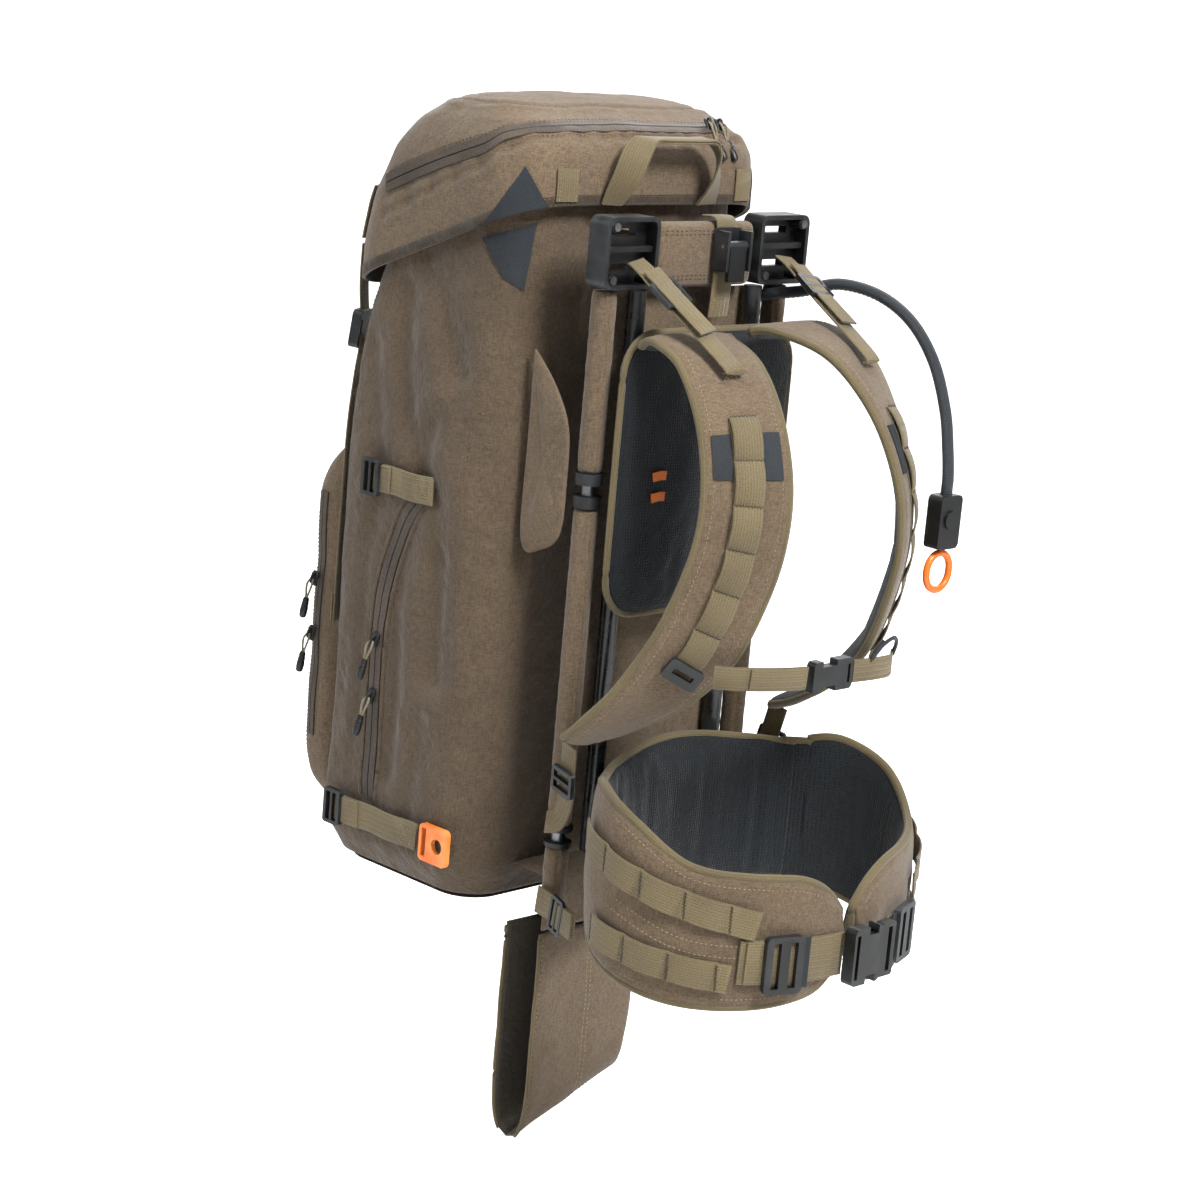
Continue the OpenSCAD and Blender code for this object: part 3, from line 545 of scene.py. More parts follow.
class Skin:
    """The final surface of a soft piece, for laying seams, tape and stitches on it."""

    def __init__(self, made):
        dg = bpy.context.evaluated_depsgraph_get()
        mesh = made.evaluated_get(dg).to_mesh()
        co = np.zeros(len(mesh.vertices) * 3)
        mesh.vertices.foreach_get("co", co)
        polygons = [tuple(f.vertices) for f in mesh.polygons]
        self.tree = BVHTree.FromPolygons(((co.reshape(-1, 3) - ORIGIN) / MM).tolist(), polygons)
        made.evaluated_get(dg).to_mesh_clear()

    def lay(self, points, out=0.0, facing=None):
        """Points moved to the surface and out along it, with the surface's normals."""
        placed, normals = [], []
        for p in np.asarray(points, float):
            found, n, _, _ = self.tree.find_nearest(Vector(p))
            if facing is not None and n.dot(Vector(facing)) < 0:
                n = -n
            placed.append(np.array(found) + np.array(n) * out)
            normals.append(np.array(n))
        return np.array(placed), np.array(normals)


def groove(points, normals, line, depth, width):
    """Pushes a grid of points in along a line, and lets the cloth stand up a little on both sides."""
    flat = points.reshape(-1, 3)
    line = np.asarray(line, float)
    nearest = np.full(len(flat), 1e9)
    for a, b in zip(line[:-1], line[1:]):
        d = b - a
        t = np.clip(((flat - a) @ d) / max(d @ d, 1e-9), 0, 1)
        nearest = np.minimum(nearest, np.linalg.norm(flat - a - t[:, None] * d, axis=1))
    lips = 0.45 * depth * np.exp(-((nearest - 2.4 * width) / (1.4 * width)) ** 2)
    dent = -depth * np.exp(-(nearest / width) ** 2) + lips
    return points + dent.reshape(points.shape[:-1])[..., None] * normals


def puff(jobs, frames=16):
    """Swells padded pieces with the cloth solver. A job is (object, pressure, limit in mm, pinned shares)."""
    scene = bpy.context.scene
    scene.frame_set(1)
    rest = {}
    for made, pressure, _, pinned in jobs:
        co = np.zeros(len(made.data.vertices) * 3)
        made.data.vertices.foreach_get("co", co)
        rest[made.name] = co.reshape(-1, 3)
        held = made.vertex_groups.new(name="held")
        for i, w in enumerate(np.asarray(pinned).ravel()):
            if w > 0.01:
                held.add([i], float(w), "REPLACE")
        cloth = made.modifiers.new("Cloth", "CLOTH")
        settings = cloth.settings
        settings.quality = 4
        settings.mass = 0.3
        settings.tension_stiffness = settings.compression_stiffness = 14
        settings.bending_stiffness = 0.6
        settings.use_pressure = True
        settings.uniform_pressure_force = pressure
        settings.vertex_group_mass = "held"
        settings.effector_weights.gravity = 0
        cloth.collision_settings.use_collision = False
        cloth.point_cache.frame_end = frames
    for f in range(1, frames + 1):
        scene.frame_set(f)
    dg = bpy.context.evaluated_depsgraph_get()
    for made, _, limit, _ in jobs:
        mesh = made.evaluated_get(dg).to_mesh()
        co = np.zeros(len(mesh.vertices) * 3)
        mesh.vertices.foreach_get("co", co)
        move = co.reshape(-1, 3) - rest[made.name]
        made.evaluated_get(dg).to_mesh_clear()
        size = np.linalg.norm(move, axis=1, keepdims=True)
        move *= np.minimum(1, limit * MM / np.maximum(size, 1e-9))
        made.modifiers.clear()
        made.vertex_groups.clear()
        made.data.vertices.foreach_set("co", (rest[made.name] + move).ravel())
        made.data.update()
    scene.frame_set(1)


def subdivide(made, levels=1):
    sub = made.modifiers.new("Subdivision", "SUBSURF")
    sub.levels = sub.render_levels = levels


def thicken(made, mm, inside=None):
    """Gives a shell its thickness, inwards, with a lining on the inner side."""
    solid = made.modifiers.new("Thickness", "SOLIDIFY")
    solid.thickness = mm * MM
    solid.offset = -1
    solid.use_even_offset = False
    if inside is not None:
        made.data.materials.append(inside)
        solid.material_offset = 1


def points_of(made):
    co = np.zeros(len(made.data.vertices) * 3)
    made.data.vertices.foreach_get("co", co)
    return (co.reshape(-1, 3) - ORIGIN) / MM


def set_points(made, points):
    made.data.vertices.foreach_set("co", row(points.reshape(-1, 3)).ravel())
    made.data.update()


def mirror_x(points):
    return np.asarray(points, float) * np.array([-1, 1, 1])


# ---------- bag ----------

BAG_KEYS = [
    (0, 128, 20, 204, 36, 0), (16, 144, 6, 222, 44, 0), (46, 150, 0, 228, 50, 0), (200, 150, 0, 228, 50, 0),
    (380, 150, 0, 228, 50, 0), (500, 147, 0, 212, 50, -0.05), (586, 142, 0, 200, 50, -0.42),
]
COLS = 144
side_zip_run = smooth([
    (-151, 135, 62), (-151, 135, 80), (-151, 135, 150), (-151, 135, 220), (-151, 130, 270), (-151, 118, 310),
    (-151, 104, 338), (-150, 88, 360),
], 6)
COMPRESSION = ((362, 74, 152), (52, 62, 176))
side_seam = smooth([(-150, 196, 20), (-150, 198, 120), (-150, 198, 300), (-149, 192, 440),
                    (-144, 180, 540)], 6)
wing_seam = smooth([(-151, 42, 44), (-151, 40, 160), (-151, 44, 330), (-149, 38, 440), (-142, 30, 560)], 6)
back_seam = smooth([(-60, -2, 566), (-90, 0, 564), (-118, 4, 560), (-134, 14, 556)], 6)
SIDE_FOLDS = [
    (smooth([(-152, 112, 96), (-152, 108, 180), (-152, 112, 260), (-152, 98, 330), (-151, 84, 420)], 5),
     3.4, 9),
    (smooth([(-152, 164, 90), (-152, 158, 180), (-152, 160, 270), (-151, 150, 340)], 5), 3.0, 8),
    (smooth([(-152, 92, 372), (-152, 112, 410), (-151, 128, 470), (-149, 132, 530)], 5), 5.0, 13),
    (smooth([(-152, 150, 376), (-152, 158, 420), (-150, 172, 480)], 5), 4.0, 12),
    (smooth([(-152, 74, 350), (-152, 66, 290), (-152, 60, 200)], 5), 4.2, 13),
    (smooth([(-152, 84, 66), (-152, 78, 110), (-152, 74, 160)], 5), 2.6, 8),
    (smooth([(-152, 180, 70), (-152, 184, 120), (-152, 180, 200)], 5), 2.0, 8),
    (smooth([(-149, 60, 470), (-149, 80, 510), (-147, 110, 560)], 5), 3.6, 12),
]

level_z = np.array([k[0] for k in BAG_KEYS], float)
heights = np.linspace(0, 586, 104)
rings = keyed_rings(BAG_KEYS, np.interp(heights, level_z, np.arange(len(BAG_KEYS))), COLS)
bag_grid = np.concatenate([np.array(cap_rows(rings[0]))[::-1], rings])
n = normals_of(bag_grid, True)
sag = 2.6 * rough_noise(bag_grid * np.array([1, 1, 0.45]), 62)
sag = sag + 1.2 * rough_noise(bag_grid * np.array([1, 1, 1.5]), 24, 7)
calm = np.clip((bag_grid[..., 2] - 20) / 60, 0, 1) * np.clip((575 - bag_grid[..., 2]) / 60, 0, 1)
lean = np.where(n[..., 1] < -0.6, 0.3, 1.0)
bag_grid = bag_grid + (sag * calm * lean - 2.2)[..., None] * n
# The bag shell wears the darker copy of the pack cloth, as painted shade on its side faces.
bag = add_grid("bag_shell", bag_grid, [FABRIC_PAINTED_SHADE], closed=True, slot="pack_fabric",
               stands_for=["main_bag"], sharp=0)


def near_line(points, line, reach):
    """1 on the line, falling to 0 at reach from it."""
    flat = points.reshape(-1, 3)
    found = np.full(len(flat), 1e9)
    for p in np.asarray(line, float):
        found = np.minimum(found, np.linalg.norm(flat - p, axis=1))
    return np.clip(1 - found / reach, 0, 1).reshape(points.shape[:-1])


held = np.zeros(bag_grid.shape[:2])
for seam in (side_seam, wing_seam, side_zip_run):
    held = np.maximum(held, near_line(bag_grid, seam, 12))
    held = np.maximum(held, near_line(bag_grid, mirror_x(seam), 12))
for z, y0, y1 in COMPRESSION:
    for s in (-1, 1):
        strap = [(s * 151, y, z) for y in range(y0, y1, 6)]
        held = np.maximum(held, near_line(bag_grid, strap, 16))
held = np.maximum(held, np.clip(1 - (bag_grid[..., 2] - 4) / 14, 0, 1))
held = np.maximum(held, np.clip((bag_grid[..., 2] - 540) / 20, 0, 1))
held = np.where(n[..., 1] < -0.7, 1, held)
bag_job = (bag, 1.6, 7, held)

POCKET_KEYS = [
    (26, 96, 226, 244, 6, 0), (44, 112, 226, 268, 14, 0), (80, 118, 226, 278, 20, 0),
    (330, 118, 226, 278, 20, 0),
    (362, 112, 226, 262, 14, 0), (378, 98, 226, 244, 6, 0),
]
pocket_z = np.array([k[0] for k in POCKET_KEYS], float)
heights = np.linspace(26, 378, 66)
rings = keyed_rings(POCKET_KEYS, np.interp(heights, pocket_z, np.arange(len(POCKET_KEYS))), 120, 2)
pocket_grid = np.concatenate([np.array(cap_rows(rings[0]))[::-1], rings, np.array(cap_rows(rings[-1]))])
n = normals_of(pocket_grid, True)
pocket_grid = pocket_grid + (1.3 * rough_noise(pocket_grid, 40, 3) - 1.0)[..., None] * n
pocket = add_grid(
    "pocket_shell", pocket_grid, FABRIC, closed=True, slot="pack_fabric", stands_for=["front_pocket"],
    sharp=0)
pocket_seams = [
    smooth([(s * 110, 270, 60), (s * 112, 276, 110), (s * 112, 276, 300), (s * 106, 270, 348)], 6)
    for s in (-1, 1)
]
held = np.where(pocket_grid[..., 1] < 232, 1.0, 0.0)
for seam in pocket_seams:
    held = np.maximum(held, near_line(pocket_grid, seam, 10))
pocket_job = (pocket, 1.6, 7, held)

# The lid's rings climb from the hem to the crown, then close over the top
LID_KEYS = [
    (572, 154, -16, 222, 54, -0.42), (600, 154, -16, 222, 54, -0.36), (634, 152, -14, 214, 54, -0.28),
    (664, 146, -4, 196, 50, -0.16), (684, 136, 14, 170, 44, -0.08), (697, 124, 34, 144, 36, -0.03),
    (704, 106, 60, 120, 26, 0), (706, 84, 74, 106, 14, 0), (706.5, 60, 84, 96, 5, 0),
]
levels = np.linspace(0, 8, 68)
rings = keyed_rings(LID_KEYS, levels, COLS, 2)
last = rings[-1].mean(0)
lid_grid = np.concatenate([rings, np.array([last + (rings[-1] - last) * s for s in (0.6, 0.25, 0.002)])])


def lid_line(level_at, turn_at):
    """A run on the lid: levels count the keys upwards, turns the share of the ring from +X round by +Y."""
    made = []
    for v, turn in zip(level_at, turn_at):
        ring = keyed_rings(LID_KEYS, np.linspace(v - 0.001, v + 0.001, 5), 28 * 8, 1)[2]
        made.append(ring[int(round(turn * len(ring))) % len(ring)])
    return np.array(made)


def ring_turn(i):
    """The share of the way round for the CAD source's ring index i, on a ring the size of the lid's."""
    ring = box_ring(634, 152, -14, 214, 54, 0, 720)
    q, k = divmod(i, 7)
    a = math.radians(q * 90 + k * 15)
    sx = 1 if int(q) % 4 in (0, 3) else -1
    sy = 1 if int(q) % 4 < 2 else -1
    spot = np.array([sx * 98 + 54 * math.cos(a), (160 if sy > 0 else 40) + 54 * math.sin(a), 634])
    return int(np.argmin(np.linalg.norm(ring[:, :2] - spot[:2], axis=1))) / 720


ZIP_LEVELS = [1.9, 2.25, 2.6, 2.9, 3.1, 3.25, 3.35, 3.4, 3.4, 3.4, 3.4, 3.4]
ZIP_TURNS = [ring_turn(13) - 0.012, 0.5 * (ring_turn(13) + ring_turn(14)), ring_turn(14)] + [
    ring_turn(i) for i in (15, 16, 17, 18, 19, 20, 21, 22)] + [ring_turn(23)]
zip_path = even(smooth(lid_line([v + 0.17 for v in ZIP_LEVELS], ZIP_TURNS), 8), 4)
gusset_path = even(smooth(lid_line([v - 0.55 for v in ZIP_LEVELS], ZIP_TURNS), 8), 4)
crown_seam = even(smooth(lid_line([5.2] * 13, [k / 12 for k in range(12)] + [0.999]), 8), 4)
hem_seam = lid_line([0.16] * 60, [k / 59 * 0.999 for k in range(60)])

n = normals_of(lid_grid, True)
lid_soft = 1.5 * rough_noise(lid_grid, 70, 5) + 0.7 * rough_noise(lid_grid, 22, 9)
lid_grid = lid_grid + (lid_soft * np.clip((lid_grid[..., 2] - 590) / 30, 0, 1) - 1.5)[..., None] * n
lid = add_grid("lid_shell", lid_grid, [FABRIC], "lid", True, slot="pack_fabric", stands_for=["lid_hood"],
               sharp=0)
held = np.clip(1 - (np.arange(len(lid_grid)) - 3) / 4, 0, 1)[:, None] * np.ones(COLS)
for seam in (zip_path, gusset_path):
    held = np.maximum(held, near_line(lid_grid, seam, 9))
lid_job = (lid, 1.6, 6, held)


# ---------- padded pieces ----------


def rounded_outline(x0, x1, z0, z1, r, count):
    ring = box_ring(0, (x1 - x0) / 2, z0, z1, r, 0, count)
    return ring[:, :2] + np.array([(x0 + x1) / 2, 0])


def cushion(outline, thick, place, steps=14, power=5.0, crown=0.0):
    """A padded shape over a flat outline: two faces that meet at the rim. place turns (a, b, height)
    into a point. Also gives how far each point is held."""
    middle = outline.mean(0)
    share = np.sin(np.linspace(0.02, 1, steps) * math.pi / 2)
    rows = []
    for side in (-1, 1):
        for s in (share if side < 0 else share[-2::-1]):
            flat = middle + (outline - middle) * s
            high = side * (thick / 2 * (1 - s**power) ** 0.5 + crown * (1 - s**2)) if s < 1 else 0.0
            rows.append(np.stack([flat[:, 0], flat[:, 1], np.full(len(flat), high)], 1))
    grid = np.array(rows)
    held = np.clip((np.concatenate([share, share[-2::-1]]) - 0.9) / 0.06, 0, 1)
    return place(grid), np.repeat(held, len(outline))


def upright(y):
    """Places a flat shape in the XZ plane at y, with its height standing out towards the wearer."""
    return lambda g: np.stack([g[..., 0], y + g[..., 2], g[..., 1]], -1)[:, ::-1]


pad_outline = rounded_outline(-103, 103, 284, 524, 34, 112)
grid, rim = cushion(pad_outline, 22, upright(-93.5))
base_grid, _ = cushion(
    rounded_outline(-124, 124, 24, 200, 34, 112), 3.2,
    lambda g: np.stack([g[..., 0], g[..., 1], -2.4 + g[..., 2]], -1), 12, 8)
add_grid("base_panel_cloth", base_grid, FABRIC_PAINTED_SHADE, closed=True, end_caps=True, slot="pack_fabric",
         stands_for=["base_panel"], sharp=0)
back_pad = add_grid("back_pad_mesh", grid, AIR_MESH, closed=True, end_caps=True, slot="air_mesh",
                    stands_for=["back_pad"], sharp=0)
pad_grid_shape = grid.shape[:2]
pad_job = (back_pad, 3.0, 4, rim)

bar_outline = rounded_outline(-60, 60, 559.5, 614.5, 7, 96)
grid, rim = cushion(bar_outline, 17.6, upright(-72), 16, 14)
wrinkle = 0.8 * rough_noise(grid, 18, 4) * (1 - rim.reshape(grid.shape[:2]))
grid = grid + wrinkle[..., None] * np.array([0, 1, 0])
bar_crease = [(34, -81, 556), (32, -81, 590), (35, -81, 618)]
grid = groove(grid, np.broadcast_to([0, -1.0, 0], grid.shape), bar_crease, 1.6, 2.2)
crossbar = add_grid("crossbar_cover", grid, FABRIC, closed=True, end_caps=True, slot="pack_fabric",
                    stands_for=["crossbar"], sharp=0)
bar_job = (crossbar, 2.0, 1.5, rim)

wing_shape = even(smooth([
    (-3, 500), (-30, 474), (-50, 440), (-53, 392), (-50, 347), (-30, 330), (-4, 331), (-3, 420), (-3, 499),
], 8), 5)


def sideways(x, s):
    """Places a flat shape in the YZ plane at s * x, with its height standing out from the middle."""
    return lambda g: np.stack([s * (x + g[..., 2]), g[..., 0], g[..., 1]], -1)


def lying(y, z):
    """Places a flat shape level at z, with its second axis running from y towards the wearer."""
    return lambda g: np.stack([g[..., 0], y - g[..., 1], z + g[..., 2]], -1)


wing_jobs = []
for s, side_name in ((-1, "left"), (1, "right")):
    grid, rim = cushion(wing_shape, 10, sideways(119, s), 9, 3)
    grid = grid[:, ::s]
    more = {"stands_for": ["channel_wings"]} if s < 0 else {}
    made = add_grid("channel_wing_" + side_name, grid, FABRIC, closed=True, end_caps=True,
                    slot="pack_fabric", sharp=0, **more)
    wing_jobs.append((made, 2.5, 3, rim))

# ---------- shoulder straps ----------

LEFT_RUN = [
    (-56, -114, 520), (-60, -130, 522), (-66, -166, 508), (-74, -200, 470), (-82, -222, 420),
    (-86, -224, 372), (-92, -214, 325), (-102, -198, 280), (-116, -168, 236), (-128, -128, 200),
    (-133, -104, 184),
]
RIGHT_RUN = [
    (56, -114, 524), (62, -140, 530), (70, -186, 516), (78, -224, 474), (84, -248, 420), (86, -254, 372),
    (90, -244, 325), (98, -220, 275), (112, -180, 234), (126, -134, 200), (133, -104, 184),
]
STRAP_WIDTHS = [88, 84, 78, 74, 74, 74, 74, 72, 64, 52, 40]
STRAP_TURNS = [0, 8, 18, 28, 34, 36, 36, 36, 32, 22, 14]
STRAP_T = 14
STRAP_STEPS = 12
SECTION = 32


def strap_frame(run, s, steps=STRAP_STEPS):
    """Centreline, width direction and outward direction along a shoulder strap."""
    p = smooth(run, steps)
    turn = np.radians(smooth([(a, 0) for a in STRAP_TURNS], steps)[:, 0])
    side = np.stack([np.cos(turn), s * np.sin(turn), np.zeros(len(p))], 1)
    t = tangents(p)
    w = unit(side - (side * t).sum(1, keepdims=True) * t)
    return p, w, np.cross(t, w)


def padded_section(width, thick, count=SECTION):
    """A closed section: crowned faces that pull in to thin edges."""
    a = np.linspace(0, 2 * math.pi, count, endpoint=False)
    x = np.sign(np.cos(a)) * np.abs(np.cos(a)) ** 0.75
    y = np.sign(np.sin(a)) * np.abs(np.sin(a)) ** 0.62
    return x * (width / 2 - 1), y * (thick / 2 - 0.6)


strap_jobs, strap_axes = [], {}
for s, run, side_name in ((-1, LEFT_RUN, "left"), (1, RIGHT_RUN, "right")):
    p, w, out = strap_frame(run, s)
    widths = smooth([(a, 0) for a in STRAP_WIDTHS], STRAP_STEPS)[:, 0]
    ring = []
    for i in range(len(p)):
        sx, sy = padded_section(widths[i], STRAP_T)
        ring.append(p[i] + sx[:, None] * w[i] + sy[:, None] * out[i])
    grid = np.array(ring)
    strap_axes[side_name] = (p, w, out, widths)
    faces, uv = grid_mesh(grid, True, True)
    under = [1 if (k < len(faces) - 2 and SECTION / 2 <= k % SECTION) else 0 for k in range(len(faces))]
    made = add("shoulder_pad_" + side_name, grid.reshape(-1, 3), faces, [FABRIC, AIR_MESH], uv=uv,
               slot="pack_fabric",
               stands_for=["shoulder_strap_" + side_name], sharp=0, face_material=under)
    rows, cols = grid.shape[:2]
    edge_cols = np.zeros(cols)
    edge_cols[[0, 1, -1, SECTION // 2, SECTION // 2 - 1, SECTION // 2 + 1]] = 1
    held = np.tile(edge_cols, (rows, 1))
    held[:3] = held[-3:] = 1
    strap_jobs.append((made, 3.2, 3, held))

# ---------- hip belt ----------

BELT_A, BELT_B, BELT_Y, BELT_T = 160, 107, -198, 16
WING_KEYS = [
    (56, 158, 24), (70, 160, 16), (95, 144, 4), (120, 116, -4), (145, 108, -6), (160, 104, -3),
    (170, 92, 4), (177, 72, 22),
]


def belt_out(f):
    f = np.radians(np.asarray(f, float))
    return unit(np.stack([np.sin(f) / BELT_A, np.cos(f) / BELT_B, 0 * f], -1))


def belt_point(f, off, z):
    out = belt_out(f)
    f = np.radians(np.asarray(f, float))
    on_oval = np.stack([BELT_A * np.sin(f), BELT_Y + BELT_B * np.cos(f), z + 0 * f], -1)
    return on_oval + np.asarray(off)[..., None] * out


def belt_body(keys, thick, steps):
    """A padded band standing on edge along the belt's oval; keys hold the angle, top and bottom."""
    k = smooth(keys, steps)
    grid = []
    for f, top, low in k:
        sx, sy = padded_section(top - low, thick, 40)
        flat = belt_point(np.full(len(sx), f), sy, (top + low) / 2 + sx)
        grid.append(flat[::-1])
    return np.array(grid), k


def belt_rims(grid):
    """1 along a belt band's top and bottom rims and at its ends, where the cloth is held."""
    z = grid[..., 2]
    edge = np.abs(z - z.mean(1, keepdims=True)) / np.ptp(z, axis=1)[:, None]
    held = np.clip((edge - 0.42) / 0.04, 0, 1)
    held[:3] = held[-3:] = 1
    return held


belt_jobs = []
for s, side_name in ((1, "right"), (-1, "left")):
    grid, wing_track = belt_body(WING_KEYS, BELT_T, 11)
    middle = [belt_point(f, BELT_T / 2, (t + b) / 2 - 6) for f, t, b in wing_track[4:-9]]
    inner = [belt_point(f, -BELT_T / 2, (t + b) / 2 - 2) for f, t, b in wing_track[4:-9]]
    outward = unit(grid - grid.mean(1, keepdims=True))
    outward[..., 2] *= 0.2
    grid = groove(grid, unit(outward), middle, 4.6, 5.5)
    grid = groove(grid, unit(outward), inner, 2.6, 4.0)
    fold = 0.9 * rough_noise(grid * np.array([1, 1, 0.5]), 26, 11 + s)
    grid = grid + fold[..., None] * unit(outward)
    if s < 0:
        grid = mirror_x(grid)[:, ::-1]
    faces, uv = grid_mesh(grid, True, True)
    out_xy = (grid - np.array([0, BELT_Y, 0]))[..., :2]
    centre_r = np.linalg.norm(grid.mean(1)[:, :2] - np.array([0, BELT_Y]), axis=1)
    flat_xy = out_xy.reshape(-1, 2)
    inside = []
    for f in faces:
        inside.append(int(len(f) == 4 and np.linalg.norm(flat_xy[f].mean(0)) < centre_r[f[0] // 40] - 0.3))
    made = add("belt_pad_" + side_name, grid.reshape(-1, 3), faces, [FABRIC, AIR_MESH], "belt_" + side_name,
               uv, "pack_fabric", ["belt_wing_" + side_name], 0, inside)
    held = np.maximum(near_line(grid, middle if s > 0 else mirror_x(middle), 8),
                      near_line(grid, inner if s > 0 else mirror_x(inner), 8))
    held = np.maximum(held, belt_rims(grid))
    belt_jobs.append((made, 3.2, 3, held))

LUMBAR_KEYS = [(-50, 152, 26), (-30, 158, 24), (0, 166, 22), (30, 158, 24), (50, 152, 26)]
lumbar_grid, lumbar_track = belt_body(LUMBAR_KEYS, 20, 12)
lumbar = add_grid("lumbar_mesh", lumbar_grid, AIR_MESH, closed=True, end_caps=True, slot="air_mesh",
                  stands_for=["lumbar_pad"], sharp=0)
lumbar_job = (lumbar, 3.0, 3, belt_rims(lumbar_grid))

# ---------- simulation, then seams ----------

puff([bag_job, pocket_job, lid_job, pad_job, bar_job, lumbar_job] + wing_jobs + strap_jobs + belt_jobs)


def sew_in(made, grid_shape, lines, depth, width, closed=True):
    """Sinks seams into a piece after it has swollen."""
    points = points_of(made).reshape(grid_shape + (3,))
    for line in lines:
        points = groove(points, normals_of(points, closed), line, depth, width)
    set_points(made, points)


for fold, depth, width in SIDE_FOLDS:
    sew_in(bag, bag_grid.shape[:2], [fold, mirror_x(fold)], depth, width)
for seam in (side_seam, wing_seam, back_seam):
    sew_in(bag, bag_grid.shape[:2], [seam, mirror_x(seam)], 2.6, 2.8)
strap_dents = [[(s * 151, y, z) for y in range(y0, y1, 6)] for z, y0, y1 in COMPRESSION for s in (-1, 1)]
sew_in(bag, bag_grid.shape[:2], strap_dents, 2.4, 12)
sew_in(pocket, pocket_grid.shape[:2], pocket_seams, 1.6, 2.6)
sew_in(lid, lid_grid.shape[:2], [gusset_path, crown_seam], 2.4, 2.8)

lumbar_dents = [[belt_point(f, -10, z) for z in range(34, 152, 6)] for f in (-36, -14, 14, 36)]
sew_in(lumbar, lumbar_grid.shape[:2], lumbar_dents, 2.8, 3.6)
sew_in(back_pad, pad_grid_shape, [[(x, -104.5, z) for z in range(300, 512, 8)] for x in (-34, 34)], 2.6, 4.0)

# Puckers gather along the gusset seam under the lid's zip
points = points_of(lid).reshape(lid_grid.shape)
near = near_line(points, gusset_path, 24) * ((points[..., 1] > -9) | (np.abs(points[..., 0]) > 80))
wave = np.sin(np.arctan2(points[..., 1] - 100, points[..., 0]) * 34) * 2.4
set_points(lid, points + (near * near * wave)[..., None] * normals_of(points, True))

for made in (bag, pocket, lid):
    subdivide(made)
for made, _, _, _ in [pad_job, bar_job, lumbar_job] + wing_jobs + strap_jobs + belt_jobs:
    subdivide(made)
bag_skin, lid_skin, pocket_skin, bar_skin = Skin(bag), Skin(lid), Skin(pocket), Skin(crossbar)
strap_skins = {j[0].name[13:]: Skin(j[0]) for j in strap_jobs}
belt_skins = {j[0].name[9:]: Skin(j[0]) for j in belt_jobs}
thicken(bag, 3.2, LINING)
thicken(lid, 3.0, LINING)

# ---------- sewn details ----------


def laid_strip(skin, path, width, thick=2.0, out=0.3, ripple=0.0, pitch=38.0, spacing=4.0):
    """Webbing or tape that follows a soft piece's surface, standing out between tacks where it ripples.
    Also gives its own points, normals and side."""
    path = even(path, spacing)
    lift = None
    if ripple:
        lift = ripple * np.abs(np.sin(np.arange(len(path)) * spacing * math.pi / pitch)) ** 0.7
    p, n = skin.lay(path, out + thick / 2)
    for _ in range(2):
        p[1:-1] = (p[:-2] + 2 * p[1:-1] + p[2:]) / 4
        n[1:-1] = (n[:-2] + 2 * n[1:-1] + n[2:]) / 4
    side = unit(np.cross(n, tangents(p)))
    return strip(p, side, width, thick, lift=lift), p, unit(n), side


def seam_rows(skin, path, offsets, out=0.2, spacing=5.0):
    """Stitch lines beside a path on a surface, one for each offset in mm."""
    p, n = skin.lay(even(path, spacing), 0)
    side = unit(np.cross(n, tangents(p)))
    return [skin.lay(p + side * o, out) for o in offsets]


def box_lines(at, along, side, n, width, length):
    """A box stitch with its cross."""
    at, along, side = np.asarray(at, float), unit(along), unit(side)
    c = [at + side * width / 2 * a + along * length / 2 * b for a, b in ((-1, -1), (1, -1), (1, 1), (-1, 1))]
    runs = [(c[0], c[1]), (c[1], c[2]), (c[2], c[3]), (c[3], c[0]), (c[0], c[2]), (c[1], c[3])]
    return [(np.array(r), np.array([n, n])) for r in runs]


def bar_tack(at, side, n, width, out=0.0):
    """A dense row of stitching across webbing."""
    at, side, n = np.asarray(at, float), unit(side), unit(n)
    along = np.cross(side, n)
    zig = [at + side * (-width / 2 + width * k / 14) + along * (0.9 if k % 2 else -0.9) + n * out
           for k in range(15)]
    return tube(zig, 0.42, 5)


def quad_patch(skin, corners, out=0.4, steps=14, thick=0.9):
    """A thin panel between four corners, laid on a surface: (verts, faces, uv)."""
    a, b, c, d = [np.asarray(k, float) for k in corners]
    u = np.linspace(0, 1, steps)[None, :, None]
    v = np.linspace(0, 1, steps)[:, None, None]
    flat = (1 - v) * ((1 - u) * a + u * b) + v * ((1 - u) * d + u * c)
    top, n = skin.lay(flat.reshape(-1, 3), out + thick)
    low = (top - n * (thick + 0.3)).reshape(flat.shape)
    top = top.reshape(flat.shape)
    rows = np.concatenate([low[:, :1], top, low[:, -1:]], 1)
    ends = [np.concatenate([low[k, :1], low[k], low[k, -1:]])[None] for k in (0, -1)]
    rows = np.concatenate([ends[0], rows, ends[1]])
    faces, uv = grid_mesh(rows)
    return rows, faces, uv


